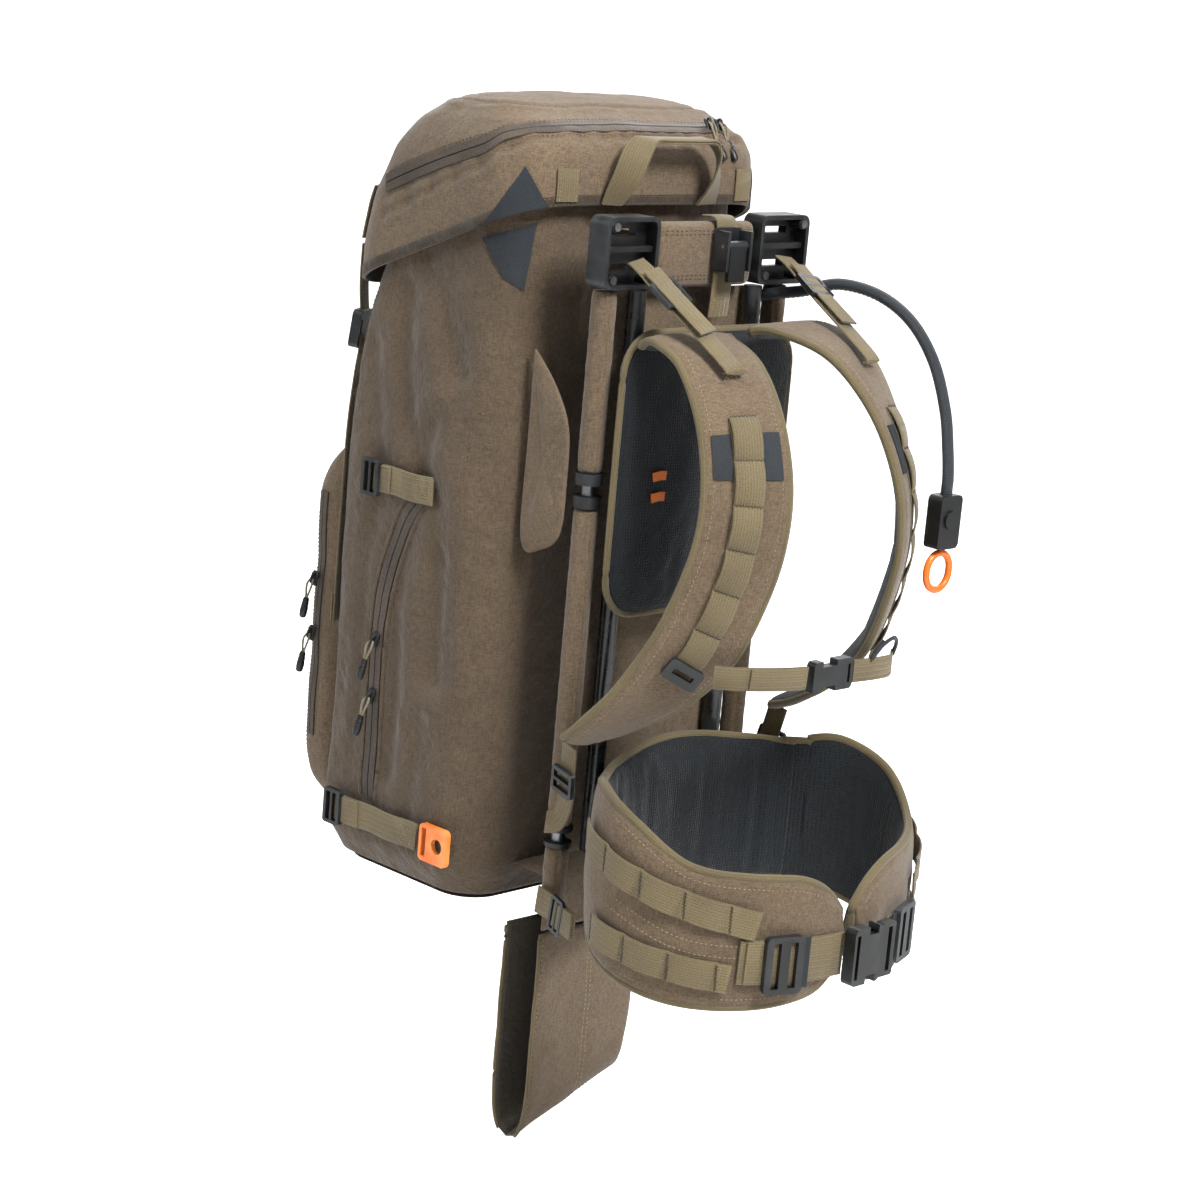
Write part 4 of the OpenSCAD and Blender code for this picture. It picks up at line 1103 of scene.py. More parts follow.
def zip_band(skin, path, width, body, name, stands_for, out=0.4):
    """Two coated tape lips that meet along the middle, with double stitching on both sides."""
    p, n = skin.lay(even(path, 4), out)
    for _ in range(3):
        p[1:-1] = (p[:-2] + 2 * p[1:-1] + p[2:]) / 4
        n[1:-1] = (n[:-2] + 2 * n[1:-1] + n[2:]) / 4
    n = unit(n)
    side = unit(np.cross(n, tangents(p)))
    half = (width - 0.9) / 2
    lips = []
    for s in (-1, 1):
        x = s * np.array([0.45, 0.45, 0.9, half * 0.6, half, half])
        z = np.array([-0.6, 0.9, 1.35, 1.0, 0.7, -0.6])
        ring = p[:, None] + x[None, :, None] * side[:, None] + z[None, :, None] * n[:, None]
        ring = ring if s < 0 else ring[:, ::-1]
        faces, uv = grid_mesh(ring, True, True)
        lips.append((ring, faces, uv))
    put(name, merge(lips), ZIP_TAPE, body, "zip_tape", stands_for)
    rows = [(p + side * o + n * 1.0, n) for o in (-half * 0.72, half * 0.72)]
    rows += [skin.lay(p + side * o, 0.2) for o in (-width / 2 - 2.4, width / 2 + 2.4)]
    add(name + "_stitching", *merge([stitches(rows)])[:2], SEAM_THREAD, body)
    return p, n, side


def zip_pull(name, at, n, hang, body, node, lean=0.0):
    """A slider, a cord loop through it and a ribbed barrel that hangs from the cord."""
    n, hang = unit(n), unit(hang)
    across = np.cross(hang, n)
    at = np.asarray(at, float)
    hull = []
    for s, w, h in ((-7, 3.4, 1.2), (-5, 4.6, 2.4), (0, 4.2, 3.2), (4, 5.0, 2.6), (7, 3.6, 1.2)):
        a = np.linspace(0, 2 * math.pi, 16, endpoint=False)
        x = np.sign(np.cos(a)) * np.abs(np.cos(a)) ** 0.6 * w
        y = np.sign(np.sin(a)) * np.abs(np.sin(a)) ** 0.6 * h / 2 + h / 2
        hull.append(at - hang * s + x[:, None] * across + y[:, None] * n)
    body_grid = np.array(hull)[::-1]
    faces, uv = grid_mesh(body_grid, True, True)
    arch = [at - hang * 5 + n * 2.4, at - hang * 2.5 + n * 5.4, at + hang * 2.5 + n * 5.4,
            at + hang * 5 + n * 2.4]
    metal = merge([(body_grid, faces, uv), tube(smooth(arch, 5), 1.1, 8)])
    put(name + "_slider", metal, BLACK, body, "moulded_black")
    knot = at + hang * 19 + n * (6.5 + lean)
    loop = [
        at + n * 4.2 + across * 1.4, at + hang * 6 + n * 6.4 + across * 3.2, knot + across * 1.0 - hang * 2,
        knot + hang * 4,
        knot - across * 1.0 - hang * 2, at + hang * 6 + n * 6.0 - across * 3.0, at + n * 4.2 - across * 1.4,
    ]
    cord = tube(smooth(loop, 6), 1.05, 8)
    put(name + "_cord", cord, CORD, body)
    spans = np.array([0, 0.5, 2, 4, 4.6, 5.2, 8, 8.6, 9.2, 12, 14, 18, 19.4, 20])
    radii = np.array([1.4, 2.4, 2.9, 3.2, 2.7, 3.2, 3.5, 3.0, 3.5, 3.7, 3.7, 3.3, 2.6, 1.2])
    line = knot + hang * (spans[:, None] - 1.5)
    grip = tube(line, radii, 14)
    put(name + "_barrel", grip, BLACK, body, "moulded_black", [node])


SEAM = {"pitch": 4.0, "length": 2.7, "width": 0.42}
BOX = {"pitch": 2.6, "length": 1.9, "width": 0.4}


def thread_lines(name, lines, body="pack", material=None, **how):
    put(name, stitches(lines, **how), material or THREAD, body)


def web(name, parts, body="pack", material=None, slot="webbing", stands_for=(), sharp=45):
    return put(name, merge(parts), material or WEBBING, body, slot, stands_for, sharp)


# Bag seams, side zip and pocket
for s in (-1, 1):
    flip = (lambda q: q) if s < 0 else mirror_x
    tag = "left" if s < 0 else "right"
    rows = []
    for seam in (side_seam, wing_seam, back_seam):
        rows += seam_rows(bag_skin, flip(seam), (-3.2, 3.2))
    thread_lines("bag_seam_stitching_" + tag, rows, material=SEAM_THREAD, **SEAM)
    rows = seam_rows(pocket_skin, pocket_seams[0 if s < 0 else 1], (-3.0, 3.0))
    thread_lines("pocket_seam_stitching_" + tag, rows, material=SEAM_THREAD, **SEAM)

side_p, _, side_w = zip_band(bag_skin, side_zip_run[4:-3], 15, "pack", "side_zip_tape", ["side_zip"])
welt = [bag_skin.lay(side_p + side_w * o, 0.4)[0] for o in (-10.5, 10.5)]
web("side_zip_welt", [tube(w, 1.9, 8) for w in welt], material=FABRIC_PAINTED_SHADE, slot="pack_fabric", sharp=0)
pocket_outline = even([(a, 279, b) for a, b in rounded_outline(-106, 106, 56, 350, 24, 160)], 4, True)
pocket_edge = pocket_skin.lay(pocket_outline, 0.6)[0]
web("pocket_piping", [tube(pocket_edge, 1.7, 8, True)], material=GUSSET, slot="pack_fabric", sharp=0)
pocket_yoke = [(x, 279, 296 - 6 * math.cos(x / 74)) for x in range(-100, 101, 5)]
thread_lines("pocket_yoke_stitching", seam_rows(pocket_skin, pocket_yoke, (-2.6, 2.6)),
             material=SEAM_THREAD, **SEAM)
pocket_run = [(-119, 260, z) for z in range(92, 328, 8)]
zip_band(pocket_skin, pocket_run, 13, "pack", "pocket_zip_tape", ["pocket_zip"])
for which, z in (("upper", 216), ("lower", 164)):
    slider = "side_slider_" + which
    zip_pull("side_zip_" + which, (-153.4, 135, z), (-1, 0, 0), (-0.12, 0.18, -1), slider, slider)
for which, z in (("upper", 242), ("lower", 190)):
    slider = "pocket_slider_" + which
    zip_pull("pocket_zip_" + which, (-121.6, 260, z), (-1, 0, 0), (-0.1, 0.1, -1), slider, slider)

# Lid: zip, seams, bound hem
zip_band(lid_skin, zip_path, 17, "lid", "lid_zip_tape", ["lid_zip"], out=1.3)
rows = seam_rows(lid_skin, gusset_path, (-3, 3)) + seam_rows(lid_skin, crown_seam, (-3, 3))
thread_lines("lid_seam_stitching", rows, "lid", SEAM_THREAD, **SEAM)
lid_front = [(x, 216, 634 - 5 * math.cos(x / 90)) for x in range(-118, 119, 5)]
thread_lines("lid_front_stitching", seam_rows(lid_skin, lid_front, (-2.8, 2.8)), "lid", SEAM_THREAD, **SEAM)
hem_band, hem_p, hem_n, hem_w = laid_strip(lid_skin, hem_seam, 9, 0.8, 0.0)
web("lid_hem_binding", [hem_band], "lid", GUSSET, "pack_fabric")
thread_lines("lid_hem_stitching", [(hem_p + hem_w * o + hem_n * 0.4, hem_n) for o in (-3, 3)], "lid",
             SEAM_THREAD,
             pitch=4.2, width=0.35)
for name, x, body, node_name in (("lid_zip_moving", 80, "lid_slider", "lid_slider_moving"),
                                 ("lid_zip_parked", 94, "lid", "lid_slider_parked")):
    at, n = lid_skin.lay([(x, 6, 688)], 2.6)
    zip_pull(name, at[0], n[0], (0, -0.72, -1), body, node_name, -3)


# Lid straps, their tails and buckle webbing
for s in (-1, 1):
    tag = "left" if s < 0 else "right"
    top = [(s * 128, 203, z) for z in range(612, 560, -6)]
    down, p, n, w = laid_strip(lid_skin, top, 20, 2.2, 0.5)
    put("lid_strap_" + tag, down, WEBBING, "lid", "webbing",
        ["lid_straps"] if s < 0 else [])
    box = box_lines(p[2] + n[2] * 1.2, tangents(p)[2], w[2], n[2], 15, 14)
    thread_lines("lid_strap_stitching_" + tag, box, "lid", **BOX)
    span = smooth([(s * 128.5, 212, 560), (s * 127, 214, 530), (s * 124, 215, 506), (s * 124.5, 212, 496)], 6)
    tail = smooth([(s * 124.5, 212, 480), (s * 126, 211, 464), (s * 128.6, 212, 440), (s * 130.6, 214.5, 390),
                   (s * 131, 215.5, 300), (s * 131, 215.8, 214)], 8)
    face = [0.87, -s * 0.5, 0]
    fold = tail[-4:] - np.array([s * -1.2, -2.0, 0])
    web("lid_strap_lower_" + tag, [strip(tail, face, 20, 2.0), strip(fold, face, 20, 2.0)],
        stands_for=["lid_tails"] if s < 0 else [])
    made = strip(span, face, 20, 2.0)
    put("lid_strap_span_" + tag, made, WEBBING, "lid", "webbing")

# Compression straps with folded ends and box stitches
parts, lines = [], []
for s in (-1, 1):
    for z, y0, y1 in COMPRESSION:
        run = np.array([(s * 154.2, y, z + 0.6 * math.sin(y / 9)) for y in np.linspace(y0, y1, 26)])
        bow = 0.9 * np.sin(np.linspace(0, math.pi, 26))
        run[:, 0] += s * bow
        parts.append(strip(run, (0, 0, 1), 25, 2.2))
        parts.append(strip(run[-9:] + np.array([s * 2.5, 0, 0]), (0, 0, 1), 24, 2.0))
        end = run[2]
        lines += box_lines(end + np.array([s * 1.4, 5, 0]), (0, 1, 0), (0, 0, 1), (s, 0, 0), 18, 16)
web("compression_webbing", parts, stands_for=["compression_straps"])
thread_lines("compression_stitching", lines, **BOX)

# Corner patches cross from the lid to the bag; a webbing tab is sewn beside each
for s in (-1, 1):
    tag = "left" if s < 0 else "right"
    upper = [(s * 157, 40, 592), (s * 126, -15, 619), (s * 129, -14, 622), (s * 146, 0, 652)]
    made = quad_patch(lid_skin, upper if s < 0 else upper[::-1], 0.3)
    put("lid_patch_" + tag, made, PATCH, "lid", sharp=30)
    lower = [(s * 130, 4, 545), (s * 123, 0, 604), (s * 150, 48, 586), (s * 144, 20, 556)]
    made = quad_patch(bag_skin, lower if s < 0 else lower[::-1], 0.3)
    put("bag_patch_" + tag, made, PATCH, "pack", sharp=30)
    tab, p, n, w = laid_strip(lid_skin, [(s * 108, -16, z) for z in range(652, 622, -4)], 22, 1.8, 0.4)
    web("lid_corner_tab_" + tag, [tab], "lid")
    thread_lines("lid_corner_tab_stitching_" + tag, [(p + w * o + n * 1.2, n) for o in (-8.5, 8.5)], "lid",
                 pitch=3.4,
                 length=2.2, width=0.4)

# Haul loop: webbing legs turn into a flat bar, folded and stitched where the hand goes
leg = smooth([
    (-58, -18.5, 622), (-57, -25, 634), (-54, -32, 650), (-50, -35, 666), (-40, -35, 678.2),
    (-24, -35, 679.2),
], 8)
turn = np.radians(90 * np.arange(len(leg)) / (len(leg) - 1))
facing = np.stack([np.cos(turn), -np.sin(turn), 0 * turn], 1)
loop_path = np.concatenate([leg, mirror_x(leg)[::-1]])
loop_side = np.concatenate([facing, facing[::-1] * np.array([-1, 1, 1])])
grip = strip(loop_path[30:-30] - np.array([0, 0, 2.3]), loop_side[30:-30], 23, 2.0)
web("haul_loop_webbing", [strip(loop_path, loop_side, 25, 2.4), grip], "haul_loop", stands_for=["haul_loop"])
lines = []
for s in (-1, 1):
    q = leg * np.array([-s, 1, 1])
    lines += [(q[3:34] + facing[3:34] * np.array([-s, 1, 1]) * o + np.array([0, -1.4, 0]),
               np.tile([0, -1.0, 0.2], (31, 1))) for o in (-9, 9)]
thread_lines("haul_loop_stitching", lines, "haul_loop", pitch=3.6, length=2.4, width=0.4)

# ---------- frame ----------

parts = []
for s in (-1, 1):
    for k, (z0, z1) in enumerate(((20, 74), (93, 373), (404, 558))):
        zs = np.arange(z0, z1 + 0.1, 3.0)
        a = np.linspace(0, 2 * math.pi, 40, endpoint=False)
        ends = np.minimum(zs - z0, z1 - zs)
        r = 10.6 - 1.4 * np.exp(-ends / 3)
        grid = np.stack([s * 106 + r[:, None] * np.cos(a), -66 + r[:, None] * np.sin(a),
                         zs[:, None] + 0 * a], -1)
        crease = 0.5 * rough_noise(grid * np.array([1, 1, 2.2]), 14, 20 + s + k)
        from_axis = grid - np.array([s * 106, -66, 0]) * np.array([1, 1, 0])
        grid += crease[..., None] * unit(from_axis - np.array([0, 0, 1]) * grid[..., 2:])
        seam = smooth([(s * 106 - 6, -74.5, z0 + 4), (s * 106 - 6, -74.5, z1 - 4)], 8)
        grid = groove(grid, normals_of(grid, True), seam, 0.9, 1.2)
        faces, uv = grid_mesh(grid, True, True)
        parts.append((grid, faces, uv))
web("post_sleeve_cloth", parts, material=FABRIC, slot="pack_fabric", stands_for=["post_sleeves"], sharp=0)
lines = []
for s in (-1, 1):
    for z0, z1 in ((22, 72), (95, 371), (406, 556)):
        lines.append((np.array([(s * 106 - 3, -76.4, z0), (s * 106 - 3, -76.4, z1)]),
                      np.array([[0.2, -1, 0]] * 2)))
thread_lines("post_sleeve_stitching", lines, material=DARK_THREAD, pitch=4.4, length=3.0, width=0.4)

zs = np.linspace(556, 62, 84)
xs = np.linspace(-93, 93, 56)
sheet_points = np.stack([np.tile(xs, (84, 1)), np.zeros((84, 56)), np.tile(zs[:, None], (1, 56))], -1)
sheet_points[..., 1] = -58 + 0.9 * rough_noise(sheet_points, 46, 2) + 0.5 * rough_noise(sheet_points, 15, 6)
panel = add_grid("frame_panel_cloth", sheet_points, FABRIC, slot="pack_fabric", stands_for=["frame_panel"],
                 sharp=0)
thicken(panel, 1.6)
zs = np.linspace(66, -6, 20)
xs = np.linspace(-109, 23, 34)
skirt_points = np.stack([np.tile(xs, (20, 1)), np.zeros((20, 34)), np.tile(zs[:, None], (1, 34))], -1)
skirt_points[..., 0] = np.clip(skirt_points[..., 0], np.where(skirt_points[..., 2] > 17, -93, -109), 23)
skirt_points[..., 1] = -57.6 + 0.5 * rough_noise(skirt_points, 22, 8)
skirt = add_grid("frame_skirt_cloth", skirt_points, FABRIC, slot="pack_fabric", sharp=0)
thicken(skirt, 1.6)

# Webs that join the bag's top and base to the frame
for name, hw, reach, thick, y, z, count in (
    ("top", 58, 52, 3.4, -9, 603, 72), ("lower", 89, 54, 5, -2, 34, 84),
):
    outline = rounded_outline(-hw, hw, -10, reach, 5, count)
    grid, rim = cushion(outline, thick, lying(y, z), 8, 8)
    add_grid(name + "_web_cloth", grid[:, ::-1], FABRIC, closed=True, end_caps=True, slot="pack_fabric",
             sharp=0)

# Crossbar: two rows of dashed dark stitching and the centre strap with its folded tail
lines = [bar_skin.lay(even([(-56, -84, z), (0, -84, z), (56, -84, z)], 4), 0.2)
         for z in (566, 569.5, 604.5, 608)]
thread_lines("crossbar_stitching", lines, material=DARK_THREAD, pitch=5.4, length=3.8, width=0.5)
centre = smooth([(16, -66, 618.5), (16, -80, 618.5), (16, -84.4, 610), (16, -84.4, 580), (16, -84.4, 556),
                 (16, -83, 534)], 8)
centre_parts = [strip(centre, (1, 0, 0), 24, 1.6)]
web("centre_webbing", centre_parts, stands_for=["centre_strap"])
box = box_lines((16, -84.2, 544), (0, 0.15, -1), (1, 0, 0), (0, -1, 0), 17, 13)
thread_lines("centre_webbing_stitching", box, **BOX)

# ---------- harness ----------

pad_rim = np.stack([pad_outline[:, 0], np.full(len(pad_outline), -93.5), pad_outline[:, 1]], 1)
grow = unit(pad_rim - pad_rim.mean(0))
piping = tube(pad_rim + grow * 1.2, 3.0, 10, True)
put("back_pad_piping", piping, BINDING, "pack", "webbing", sharp=0)
for k, z in enumerate((404, 386)):
    made = strip([(-70, -106.2, z), (-62, -107.0, z + 1.5), (-55, -106.6, z + 1)], (0, 0, 1), 8, 1.2)
    put("orange_tab_%d" % (k + 1), made, ORANGE_TAB, "pack", "orange_plastic")

DAISY = (0.30, 0.72)
for s, tag in ((-1, "left"), (1, "right")):
    p, w, out, widths = strap_axes[tag]
    skin = strap_skins[tag]
    for edge in (-1, 1):
        rim_line = p + w * (edge * (widths / 2 - 1.6))[:, None]
        made = tube(rim_line[1:-1], 3.6, 12, flat=1.0, up=out[1:-1])
        put("strap_binding_%s_%s" % (tag, "in" if edge * s < 0 else "out"), made, BINDING, "pack",
            "webbing", sharp=0)
    rows = []
    for edge in (-1, 1):
        rows.append(skin.lay(even(p + w * (edge * (widths / 2 - 7.5))[:, None] + out * 9, 5)[2:-2], 0.25))
    thread_lines("strap_stitching_" + tag, rows, pitch=4.2, length=2.9, width=0.45)
    for end, fold in ((p[1], "top"), (p[-2], "end")):
        i = 1 if fold == "top" else len(p) - 2
        made = tube([end - w[i] * (widths[i] / 2 - 2), end + w[i] * (widths[i] / 2 - 2)], 4.4, 12, up=out[i])
        put("strap_binding_%s_%s" % (tag, fold), made, BINDING, "pack", "webbing", sharp=0)
    # Ladder of webbing loops down the strap, tacked every 38 mm
    a, b = (int(len(p) * share) for share in DAISY)
    track = p[a:b] + out[a:b] * 9
    high = 4.4 if s < 0 else 2.6
    daisy, q, n, side = laid_strip(skin, track, 25, 1.8, 0.5, ripple=high, pitch=37.5, spacing=2.5)
    under_strip, _, _, _ = laid_strip(skin, track, 25, 0.8, 0.05, spacing=2.5)
    web("daisy_chain_" + tag, [daisy, under_strip], stands_for=["daisy_webbing"] if s < 0 else [])
    # On the left strap the tacks take the dark thread as painted shade in the dips between the loops; the
    # right strap's tacks take the seam thread.
    tacks = [bar_tack(q[k] + n[k] * 1.2, side[k], n[k], 23) for k in range(0, len(q), 15)]
    put("daisy_tacks_" + tag, merge(tacks), DARK_THREAD if s < 0 else SEAM_THREAD)
    # Dark film patches either side of the webbing
    at = int(len(p) * 0.36)
    for edge in (-1, 1):
        near_x, far_x = 13.5, widths[at] / 2 - 7
        spots = ((at - 4, near_x), (at - 4, far_x), (at + 4, far_x), (at + 4, near_x))
        corners = [p[i] + w[i] * edge * x + out[i] * 9 for i, x in spots]
        made = quad_patch(skin, corners if edge > 0 else corners[::-1], 0.3)
        put("strap_patch_%s_%s" % (tag, "in" if edge * s < 0 else "out"), made, PATCH, "pack")


def on_strap(run, s, out, steps=3):
    p, w, o = strap_frame(run, s, steps)
    return p + out * o


WEB_OUT = 9.6
for s, run, tag in ((-1, LEFT_RUN, "left"), (1, RIGHT_RUN, "right")):
    end = on_strap(run, s, WEB_OUT + 1.6)[7]
    start = np.array([s * 92, -84.8, 584])
    lift_path = smooth([start, start + (end - start) * 0.12 + [0, 0, 2],
                        start + (end - start) * 0.34 + [0, 0, 2],
                        start + (end - start) * 0.94 + [0, -3, 3], end], 8)
    side = (0.95, s * 0.2, 0)
    droop = np.linspace(0, 1, 13)[:, None] ** 2 * np.array([0, -5, -2])
    tail = lift_path[8:21] + np.array([0, -4.4, 2.6]) + droop
    web("load_lifter_" + tag, [strip(lift_path, side, 20, 2.0), strip(tail, side, 19, 1.8)],
        stands_for=["load_lifters"] if s < 0 else [])
    q = lift_path[-5]
    t = tangents(lift_path)[-5]
    n = unit(np.cross(t, side))
    n = n if n[1] < 0 else -n
    thread_lines("load_lifter_stitching_" + tag, box_lines(q + n * 1.3, t, side, n, 14, 16), **BOX)
    low = smooth([(s * 133, -97, 176), (s * 129, -93, 150), (s * 124, -88, 122), (s * 122.6, -80, 104),
                  (s * 122.2, -66, 98)], 8)
    web("lower_strap_" + tag, [strip(low, (s * -0.15, 1, 0), 20, 2.0)],
        stands_for=["lower_webbing"] if s < 0 else [])

left_chest = smooth([(-100, -222, 262), (-84, -236, 262), (-50, -246, 260), (-16, -250, 258)], 8)
right_chest = smooth([(40, -253, 258), (66, -256, 258), (90, -252, 257), (106, -240, 257)], 8)
parts = [strip(left_chest, (0, 0, 1), 20, 2.0), strip(right_chest, (0, 0, 1), 20, 2.0),
         strip(left_chest[10:-2] + np.array([0, -2.6, 0]), (0, 0, 1), 19, 1.8)]
web("sternum_strap", parts, stands_for=["sternum_webbing"])
cord_run = smooth([(58, -258, 268), (66, -262, 280), (82, -260, 284), (96, -252, 276), (100, -246, 264)], 8)
made = tube(cord_run, 1.8, 10)
put("sternum_cord", made, SLEEVE, "pack", "conduit_sleeve", sharp=0)

# ---------- hip belt details ----------


def belt_strip(f0, f1, z0, z1, width, thick, out, s, ripple=0.0, pitch=40.0):
    """Webbing round the belt from angle f0 to f1; s is -1 on the left. Ripples stand out between tacks."""
    f = np.linspace(f0, f1, 70)
    z = np.interp(f, [f0, (f0 + f1) / 2, f1], [z0, (z0 + z1) / 2, z1])
    p = belt_point(f, out, z)
    run = np.concatenate([[0], np.cumsum(np.linalg.norm(np.diff(p, axis=0), axis=1))])
    lift = ripple * np.abs(np.sin(run * math.pi / pitch)) ** 0.6
    p = p + lift[:, None] * belt_out(f)
    if s < 0:
        p = mirror_x(p)
    return strip(p, (0, 0, 1), width, thick), p, run, belt_out(f) * np.array([s, 1, 1])


WEB_FACE = BELT_T / 2 + 1.4


def bend_with(piece):
    """For a piece that spans from the pack to a belt wing across the wing's hinge: takes it off its body and
    bakes its transform into its points.
    """
    piece.parent = None
    del piece["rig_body"]
    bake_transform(piece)


for s, tag in ((1, "right"), (-1, "left")):
    body = "belt_" + tag
    skin = belt_skins[tag]
    rim = []
    grid, track = belt_body(WING_KEYS, BELT_T, 11)
    top = [belt_point(f, 0, t - 1.6) for f, t, b in track]
    low = [belt_point(f, 0, b + 1.6) for f, t, b in track[::-1]]
    loop = np.array(top + low) * np.array([s, 1, 1])
    made = tube(even(loop, 4, True), 3.9, 12, True)
    put("belt_binding_" + tag, made, BINDING, body, "webbing", sharp=0)
    by_side = np.array([s, 1, 1])
    inset = np.array([belt_point(f, BELT_T / 2 + 2, t - 9) for f, t, b in track[3:-6]]) * by_side
    inset_low = np.array([belt_point(f, BELT_T / 2 + 2, b + 9) for f, t, b in track[3:-6]]) * by_side
    mid = np.array([belt_point(f, BELT_T / 2, (t + b) / 2 - 6) for f, t, b in track[5:-9]]) * by_side
    rows = [skin.lay(even(q, 5), 0.25) for q in (inset, inset_low)] + seam_rows(skin, mid, (-5, 5))
    thread_lines("belt_stitching_" + tag, rows, body, pitch=4.2, length=2.9, width=0.45)
    rows_made, tacks = [], []
    for f0, f1, z0, z1 in ((66, 144, 119.5, 69.5), (78, 136, 45.5, 24.0)):
        band, p, run, n = belt_strip(f0, f1, z0, z1, 25, 1.8, WEB_FACE + 0.9, s, 3.0)
        rows_made.append(band)
        for k in np.searchsorted(run, np.arange(0.5, run[-1], 40)):
            tacks.append(bar_tack(p[k] + n[k] * 1.2, (0, 0, 1), n[k], 23))
    web("molle_rows_" + tag, rows_made, body, stands_for=["molle_" + tag])
    put("molle_tacks_" + tag, merge(tacks), DARK_THREAD, body)
    f1 = 176 if s < 0 else 162.5
    main, p, run, n = belt_strip(139, f1, 38, 36, 38, 2.2, WEB_FACE + 0.9, s)
    second, _, _, _ = belt_strip(141, f1 - 5, 38, 36, 37, 2.0, WEB_FACE + 3.4, s)
    web("belt_webbing_strap_" + tag, [main, second], body, stands_for=["belt_webbing_" + tag])
    box = box_lines(p[9] + n[9] * 1.3, tangents(p)[9], (0, 0, 1), n[9], 28, 14)
    thread_lines("belt_webbing_stitching_" + tag, box, body,
                 pitch=2.8, length=2.0, width=0.42)
    made, p, run, n = belt_strip(157.5, 162, 36, 36, 44, 1.4, WEB_FACE + 5.2, s)
    put("belt_keeper_" + tag, made, PATCH, body)
    # Mesh that carries the padding on across the wing's hinge
    f = np.linspace(46, 60, 22)
    ring = []
    for angle in f:
        k = (angle - 46) / 14
        sx, sy = padded_section(132 + 2 * k, 15, 32)
        ring.append(belt_point(np.full(len(sx), angle), sy, 89 + sx))
    grid = np.array(ring) * np.array([s, 1, 1])
    grid = grid[:, ::-s]
    bridge = add_grid("belt_hinge_mesh_" + tag, grid, AIR_MESH, "pack", True, True, slot="air_mesh", sharp=0)
    bend_with(bridge)
    for edge_name, edge in (("top", 64), ("base", -64)):
        line = np.array([belt_point(a, 0, 89 + edge) for a in np.linspace(45, 60, 16)]) * np.array([s, 1, 1])
        made = tube(line, 3.8, 12)
        piece = put("belt_hinge_binding_%s_%s" % (edge_name, tag), made, BINDING, "pack", "webbing", sharp=0)
        bend_with(piece)
    stab = smooth([(s * 119.4, -60, 26), (s * 120.5, -78, 24), (s * 125, -98, 21), (s * 130.6, -118, 20)], 8)
    fold = stab[12:] + np.array([s * 3.4, 0, 0])
    web("stabiliser_webbing_" + tag, [strip(stab, (0, 0, 1), 25, 2.2), strip(fold, (0, 0, 1), 24, 2.0)],
        stands_for=["stabiliser_straps"] if s < 0 else [])

for edge_name, k in (("top", 1), ("base", 2)):
    line = np.array([belt_point(t[0], 0, t[k] + (1.6 if k == 2 else -1.6)) for t in lumbar_track])
    made = tube(even(line, 4), 3.9, 12)
    put("lumbar_binding_" + edge_name, made, BINDING, "pack", "webbing", sharp=0)

# ---------- release cable sleeve ----------

conduit = smooth([
    (88, -66, 548), (89, -82, 552), (100, -104, 557), (112, -134, 567), (120, -172, 563), (123, -208, 546),
    (122, -238, 516), (117, -260, 478), (110, -273, 446), (105, -280, 426), (104, -281, 415),
    (104, -281, 407),
], 8)
made = tube(conduit, 5.0, 18, up=(1, 0.2, 0))
put("release_sleeve", made, SLEEVE, "pack", "conduit_sleeve", ["release_conduit"], 0)
lines = [(conduit + np.array([-0.6, 0, 0]) + unit(np.cross(tangents(conduit), (1, 0, 0))) * -5.0,
          unit(np.cross(tangents(conduit), (1, 0, 0))) * -1)]
thread_lines("release_sleeve_stitching", lines, material=DARK_THREAD, pitch=4.4)

# ---------- rifle boot ----------

boot_rows = []
for k in range(46):
    share = k / 45
    z_right, z_left = -10 - 155 * share, -10 - 197 * share
    bottom = math.sqrt(1 - share**12)
    a = np.concatenate([np.linspace(0, 0.42, 22), np.linspace(0.42, 0.58, 12)[1:-1],
                        np.linspace(0.58, 1, 22)])
    depth = 21.5 * bottom
    pts = []
    for t in a:
        if t <= 0.42:
            x_share, y = t / 0.42, -37 + depth
        elif t >= 0.58:
            x_share, y = (1 - t) / 0.42, -37 - depth
        else:
            turn = (t - 0.42) / 0.16 * math.pi
            x_share, y = 1 + 0.07 * math.sin(turn), -37 + depth * math.cos(turn)
        x0, x1 = -110, np.interp(share, [0, 1], [18, 6])
        x = x0 + (x1 - x0) * x_share
        z = z_left + (z_right - z_left) * np.clip(x_share, 0, 1)
        pts.append((x, y, z))
    boot_rows.append(pts)
boot_grid = np.array(boot_rows)
boot_n = normals_of(boot_grid, False)
boot_folds = 1.2 * rough_noise(boot_grid, 36, 13) + 0.5 * rough_noise(boot_grid, 13, 17)
boot_grid = boot_grid + boot_folds[..., None] * boot_n * 0.9
boot = add_grid("boot_cloth", boot_grid, FABRIC, "boot", slot="pack_fabric", stands_for=["boot_pocket"],
                sharp=0)
boot_skin = Skin(boot)
thicken(boot, 1.6, LINING)
seam = [(-46 + 4 * k / 20, -60, -14 - k * 8.6) for k in range(21)]
rows = seam_rows(boot_skin, seam, (-2.4, 2.4))
rows += [boot_skin.lay([(-106, -60, -14 - k * 9) for k in range(21)], 0.2)]
rows += [boot_skin.lay(even([(-104, -60, -199), (-46, -60, -182), (2, -60, -166)], 5), 0.2)]
thread_lines("boot_stitching", rows, "boot", pitch=4.4)
edges = [even(boot_grid[1:-1, k], 5) for k in (0, -1)]
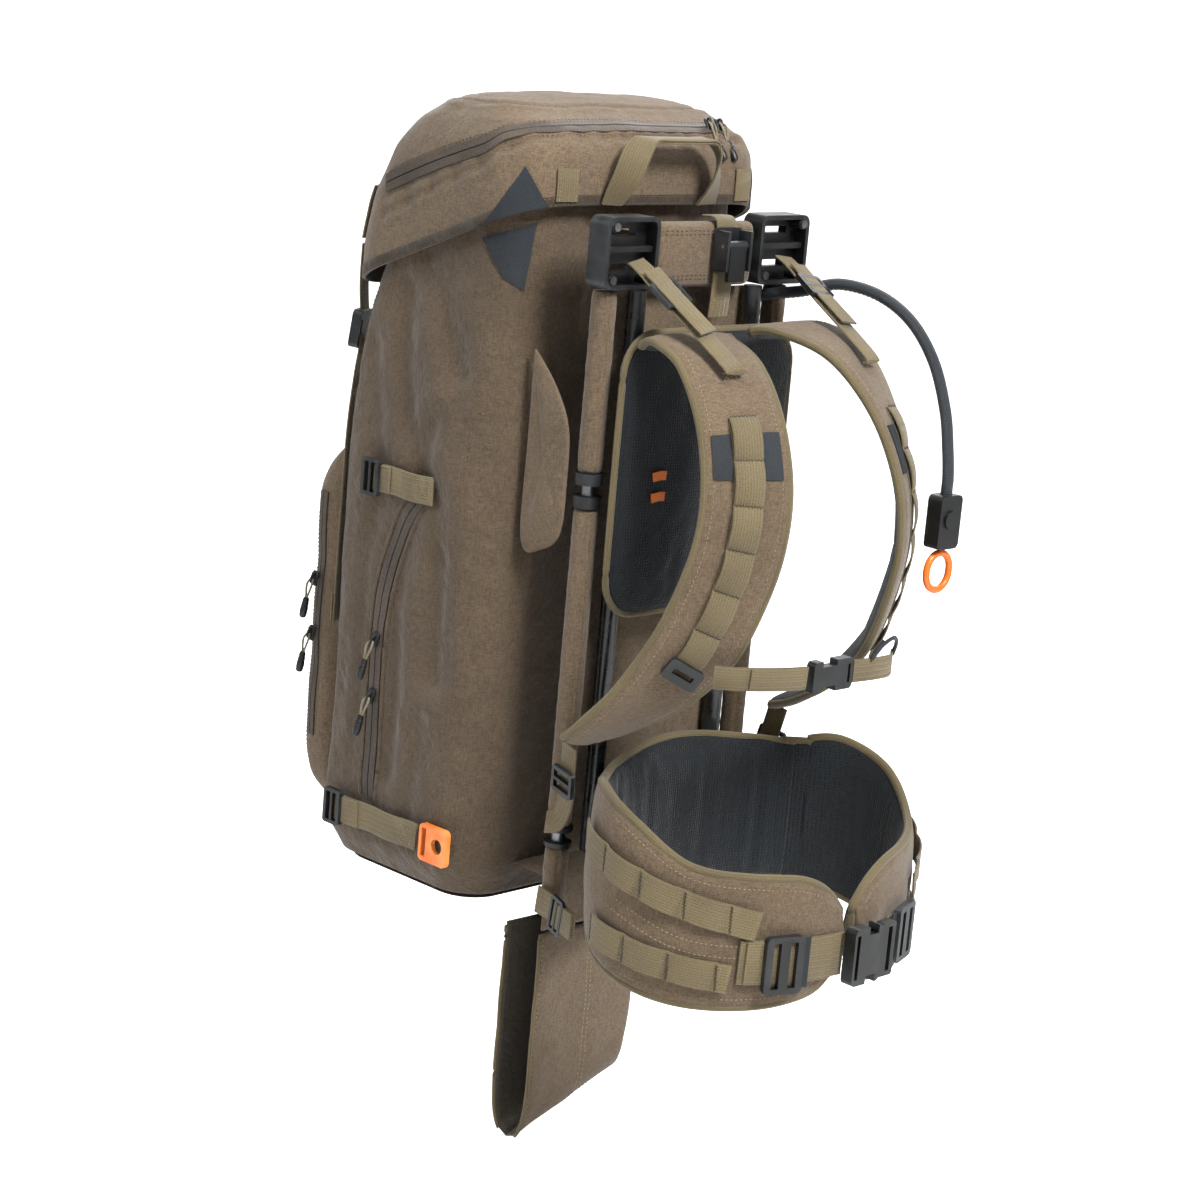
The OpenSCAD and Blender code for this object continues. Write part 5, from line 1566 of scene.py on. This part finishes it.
web("boot_binding", [tube(e, 1.9, 8) for e in edges], "boot", BINDING, sharp=0)

# ---------- moulded and metal hardware from the CAD model ----------

FINISHES = {
    "moulded_black": BLACK, "orange_plastic": ORANGE, "steel": STEEL, "black_tube": TUBE,
    "conduit_sleeve": SLEEVE,
    "pack_fabric": FABRIC, "webbing": WEBBING, "air_mesh": AIR_MESH, "zip_tape": ZIP_TAPE,
}
for part in frame["record"]["subparts"]:
    made = frame["nodes"][part["node"]]
    if made.hide_render:
        continue
    made.data.materials.clear()
    made.data.materials.append(FINISHES[part["material_slot"]])
    eased = made.modifiers.new("Eased edges", "BEVEL")
    eased.width, eased.segments, eased.limit_method = 0.0007, 2, "ANGLE"

# ---------- floor ----------

FLOOR_Z, FLOOR_R, BEND, WALL = -216, 5200, 1500, 2600
profile = [(r, FLOOR_Z) for r in np.linspace(1, FLOOR_R, 10)]
profile += [(FLOOR_R + BEND * math.sin(a), FLOOR_Z + BEND * (1 - math.cos(a)))
            for a in np.linspace(0.1, math.pi / 2, 12)]
profile.append((FLOOR_R + BEND, FLOOR_Z + BEND + WALL))
turns = np.linspace(0, 2 * math.pi, 96, endpoint=False)
bowl = np.array([[(r * math.cos(a), r * math.sin(a), z) for a in turns] for r, z in profile])
faces, uv = grid_mesh(bowl, True)
paper = Finish("floor_paper", 0.9, spec=0.1)
tooth = paper.noise(60, detail=4)
paper.finish(paper.mix(tooth, (0.88, 0.88, 0.88, 1), (0.92, 0.92, 0.92, 1)), paper.bump(tooth, 0.05, 0.001))
paper.shader.inputs["Emission Color"].default_value = (1, 1, 1, 1)
seen = paper.node("LightPath").outputs["Is Camera Ray"]
paper.tree.links.new(paper.math("MULTIPLY", seen, 0.9), paper.shader.inputs["Emission Strength"])
mesh = bpy.data.meshes.new("floor")
mesh.from_pydata(row(bowl.reshape(-1, 3)).tolist(), [], faces)
mesh.materials.append(paper.material)
mesh.shade_smooth()
floor = bpy.data.objects.new("floor", mesh)
bpy.context.scene.collection.objects.link(floor)
